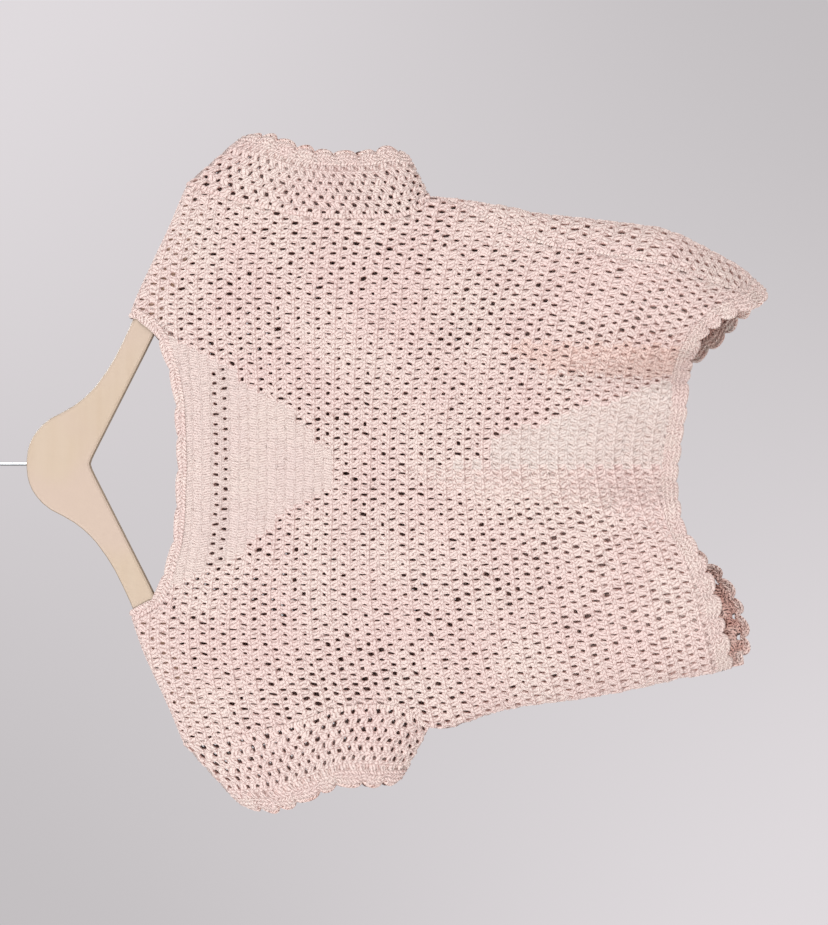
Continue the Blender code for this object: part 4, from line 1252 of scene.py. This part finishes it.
def add_camera():
    """A camera lying on its side, as the photograph is turned a quarter turn."""
    data = bpy.data.cameras.new("camera")
    data.sensor_fit = "VERTICAL"
    data.sensor_height = SENSOR_HEIGHT
    data.lens = SENSOR_HEIGHT * CAMERA_DISTANCE / (IMAGE_HEIGHT * PIXEL)
    data.clip_end = 50.0
    camera = add_object("camera", data)
    camera.matrix_world = Matrix((
        (0, 1, 0, VIEW_MIDDLE_X * METRES),
        (0, 0, -1, -CAMERA_DISTANCE * METRES),
        (-1, 0, 0, -VIEW_MIDDLE_DROP * METRES),
        (0, 0, 0, 1),
    ))
    bpy.context.scene.camera = camera


def add_light(light):
    """A round soft light that points at the middle of the cloth."""
    data = bpy.data.lights.new(light.name, "AREA")
    data.shape = "DISK"
    data.size = light.size
    data.energy = light.power
    data.color = LAMP_COLOUR
    lamp = add_object(light.name, data)
    lamp.location = light.place
    aim = lamp.location - Vector((0.0, 0.0, -VIEW_MIDDLE_DROP * METRES))
    lamp.rotation_euler = aim.to_track_quat("Z", "Y").to_euler()


BACKDROP_LIGHT = (224, 219, 222)
BACKDROP_DARK = (195, 191, 193)
BACKDROP_CHANGE = 26.0      # how fast the backdrop changes from one corner to the next
AMBIENT_COLOUR = (1.0, 0.92, 0.89, 1.0)
AMBIENT_STRENGTH = 0.4
LAMP_COLOUR = (1.0, 0.985, 0.978)


def add_world():
    """A pale backdrop that is lighter in two opposite corners, and soft light from all round."""
    world = bpy.data.worlds.new("studio")
    bpy.context.scene.world = world
    world.use_nodes = True
    calc = Shading(world.node_tree)
    backdrop = calc.nodes["Background"]
    way = calc.parts(calc.source("ShaderNodeTexCoord", "Generated"))
    corner = calc("MULTIPLY", way["X"], way["Z"])
    share = calc.between(calc("MULTIPLY_ADD", corner, BACKDROP_CHANGE, 0.5), 0.0, 1.0)
    seen = calc.colour(share, srgb(*BACKDROP_DARK), srgb(*BACKDROP_LIGHT))
    calc.links.new(seen, backdrop.inputs["Color"])
    ambient = calc.nodes.new("ShaderNodeBackground")
    ambient.inputs["Color"].default_value = AMBIENT_COLOUR
    ambient.inputs["Strength"].default_value = AMBIENT_STRENGTH
    both = calc.nodes.new("ShaderNodeMixShader")
    inputs = calc.source("ShaderNodeLightPath", "Is Camera Ray"), ambient.outputs[0], backdrop.outputs[0]
    for socket, value in zip(both.inputs, inputs):
        calc.links.new(value, socket)
    calc.links.new(both.outputs["Shader"], calc.nodes["World Output"].inputs["Surface"])


FLOOR_HALF_SIZE = 3000.0
FLOOR_HEIGHT = -1700.0
LIGHTS = table(
    "name place size power",
    ("key", (-4.6, -5.0, 3.2), 2.6, 414.0),
    ("fill", (5.6, -4.0, 0.3), 4.0, 240.0),
    ("back", (1.8, 6.0, 2.8), 3.6, 400.0),
)


def add_stage():
    """The studio: its backdrop, its lights and its floor."""
    add_world()
    for light in LIGHTS:
        add_light(light)
    ways = ((-1, -1), (1, -1), (1, 1), (-1, 1))
    corners = np.array([(x * FLOOR_HALF_SIZE, y * FLOOR_HALF_SIZE, FLOOR_HEIGHT) for x, y in ways])
    matt = new_material("floor", Base_Color=srgb(*FLOOR_COLOUR), Roughness=0.9)[0]
    add_mesh("floor", corners, [(0, 1, 2, 3)], [matt])
    bpy.context.scene.view_settings.view_transform = "Standard"


# ---- All of it ----

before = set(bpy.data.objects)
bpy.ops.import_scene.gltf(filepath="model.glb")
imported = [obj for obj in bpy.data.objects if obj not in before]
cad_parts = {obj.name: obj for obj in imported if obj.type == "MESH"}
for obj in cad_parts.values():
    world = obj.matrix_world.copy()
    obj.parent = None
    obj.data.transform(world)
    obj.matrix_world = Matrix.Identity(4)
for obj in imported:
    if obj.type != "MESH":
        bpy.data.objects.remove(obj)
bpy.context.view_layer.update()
add_camera()
add_stage()


def keep(piece, node=None):
    """Puts a piece on the body, and in the place of a node where one is named."""
    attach(piece, "root")
    if node:
        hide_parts(node)


cottons = {name: cotton(name + " cotton", yarn) for name, yarn in YARNS.items()}
net_looks = [cottons[name] for name in NET_YARNS]
edge_looks = [cottons[name] for name in EDGE_YARNS]
for side in OUTWARD:
    keep(add_panel(side, net_looks), side + "_panel")
for which in SLEEVE_SIDES:
    skin, around = sleeve_skin(which)
    keep(add_sleeve(which, skin, around, net_looks), "sleeve_" + which)
    cuff = skin_border(skin, 1.0, 1.0 - SLEEVE_STEP, 1.0)
    armhole = skin_border(skin, 0.0, 0.0, SLEEVE_STEP)
    scallops = add_edging("cuff_scallops_" + which, cuff, CUFF_EDGING, edge_looks)
    keep(scallops, "cuff_edging_" + which)
    keep(add_seam("armhole_seam_" + which, armhole, *ARMHOLE_CHAIN, edge_looks[:1]))
keep(add_edging("neck_scallops", neck_border(), NECK_EDGING, edge_looks[:1]), "neck_edging")
keep(add_edging("hem_scallops", hem_border(), HEM_EDGING, edge_looks), "hem_edging")
for which, way in (("left", -1), ("right", 1)):
    seam = add_seam("shoulder_seam_" + which, shoulder_border(way), *SHOULDER_CHAIN, edge_looks[:1])
    keep(seam)
for which, (share, _) in SLEEVE_SIDES.items():
    keep(add_seam("side_seam_" + which, side_border(share), *SIDE_CHAIN, edge_looks[:1]))

hanger_looks = {
    "hanger_body": wooden("wood", **WOOD),
    "hanger_hook": drawn_wire("steel", BRIGHT_STEEL, DULL_STEEL),
}
for node, look in hanger_looks.items():
    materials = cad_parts[node].data.materials
    materials.clear()
    materials.append(look)

# The flat width and length in metres, and the flat area in square metres, of what each piece was cut to
FRONT_CUT, BACK_CUT, LEFT_CUT, RIGHT_CUT = table(
    "width length area",
    (0.442, 0.470, 0.163), (0.442, 0.492, 0.176), (0.356, 0.058, 0.0178), (0.350, 0.050, 0.0156),
)
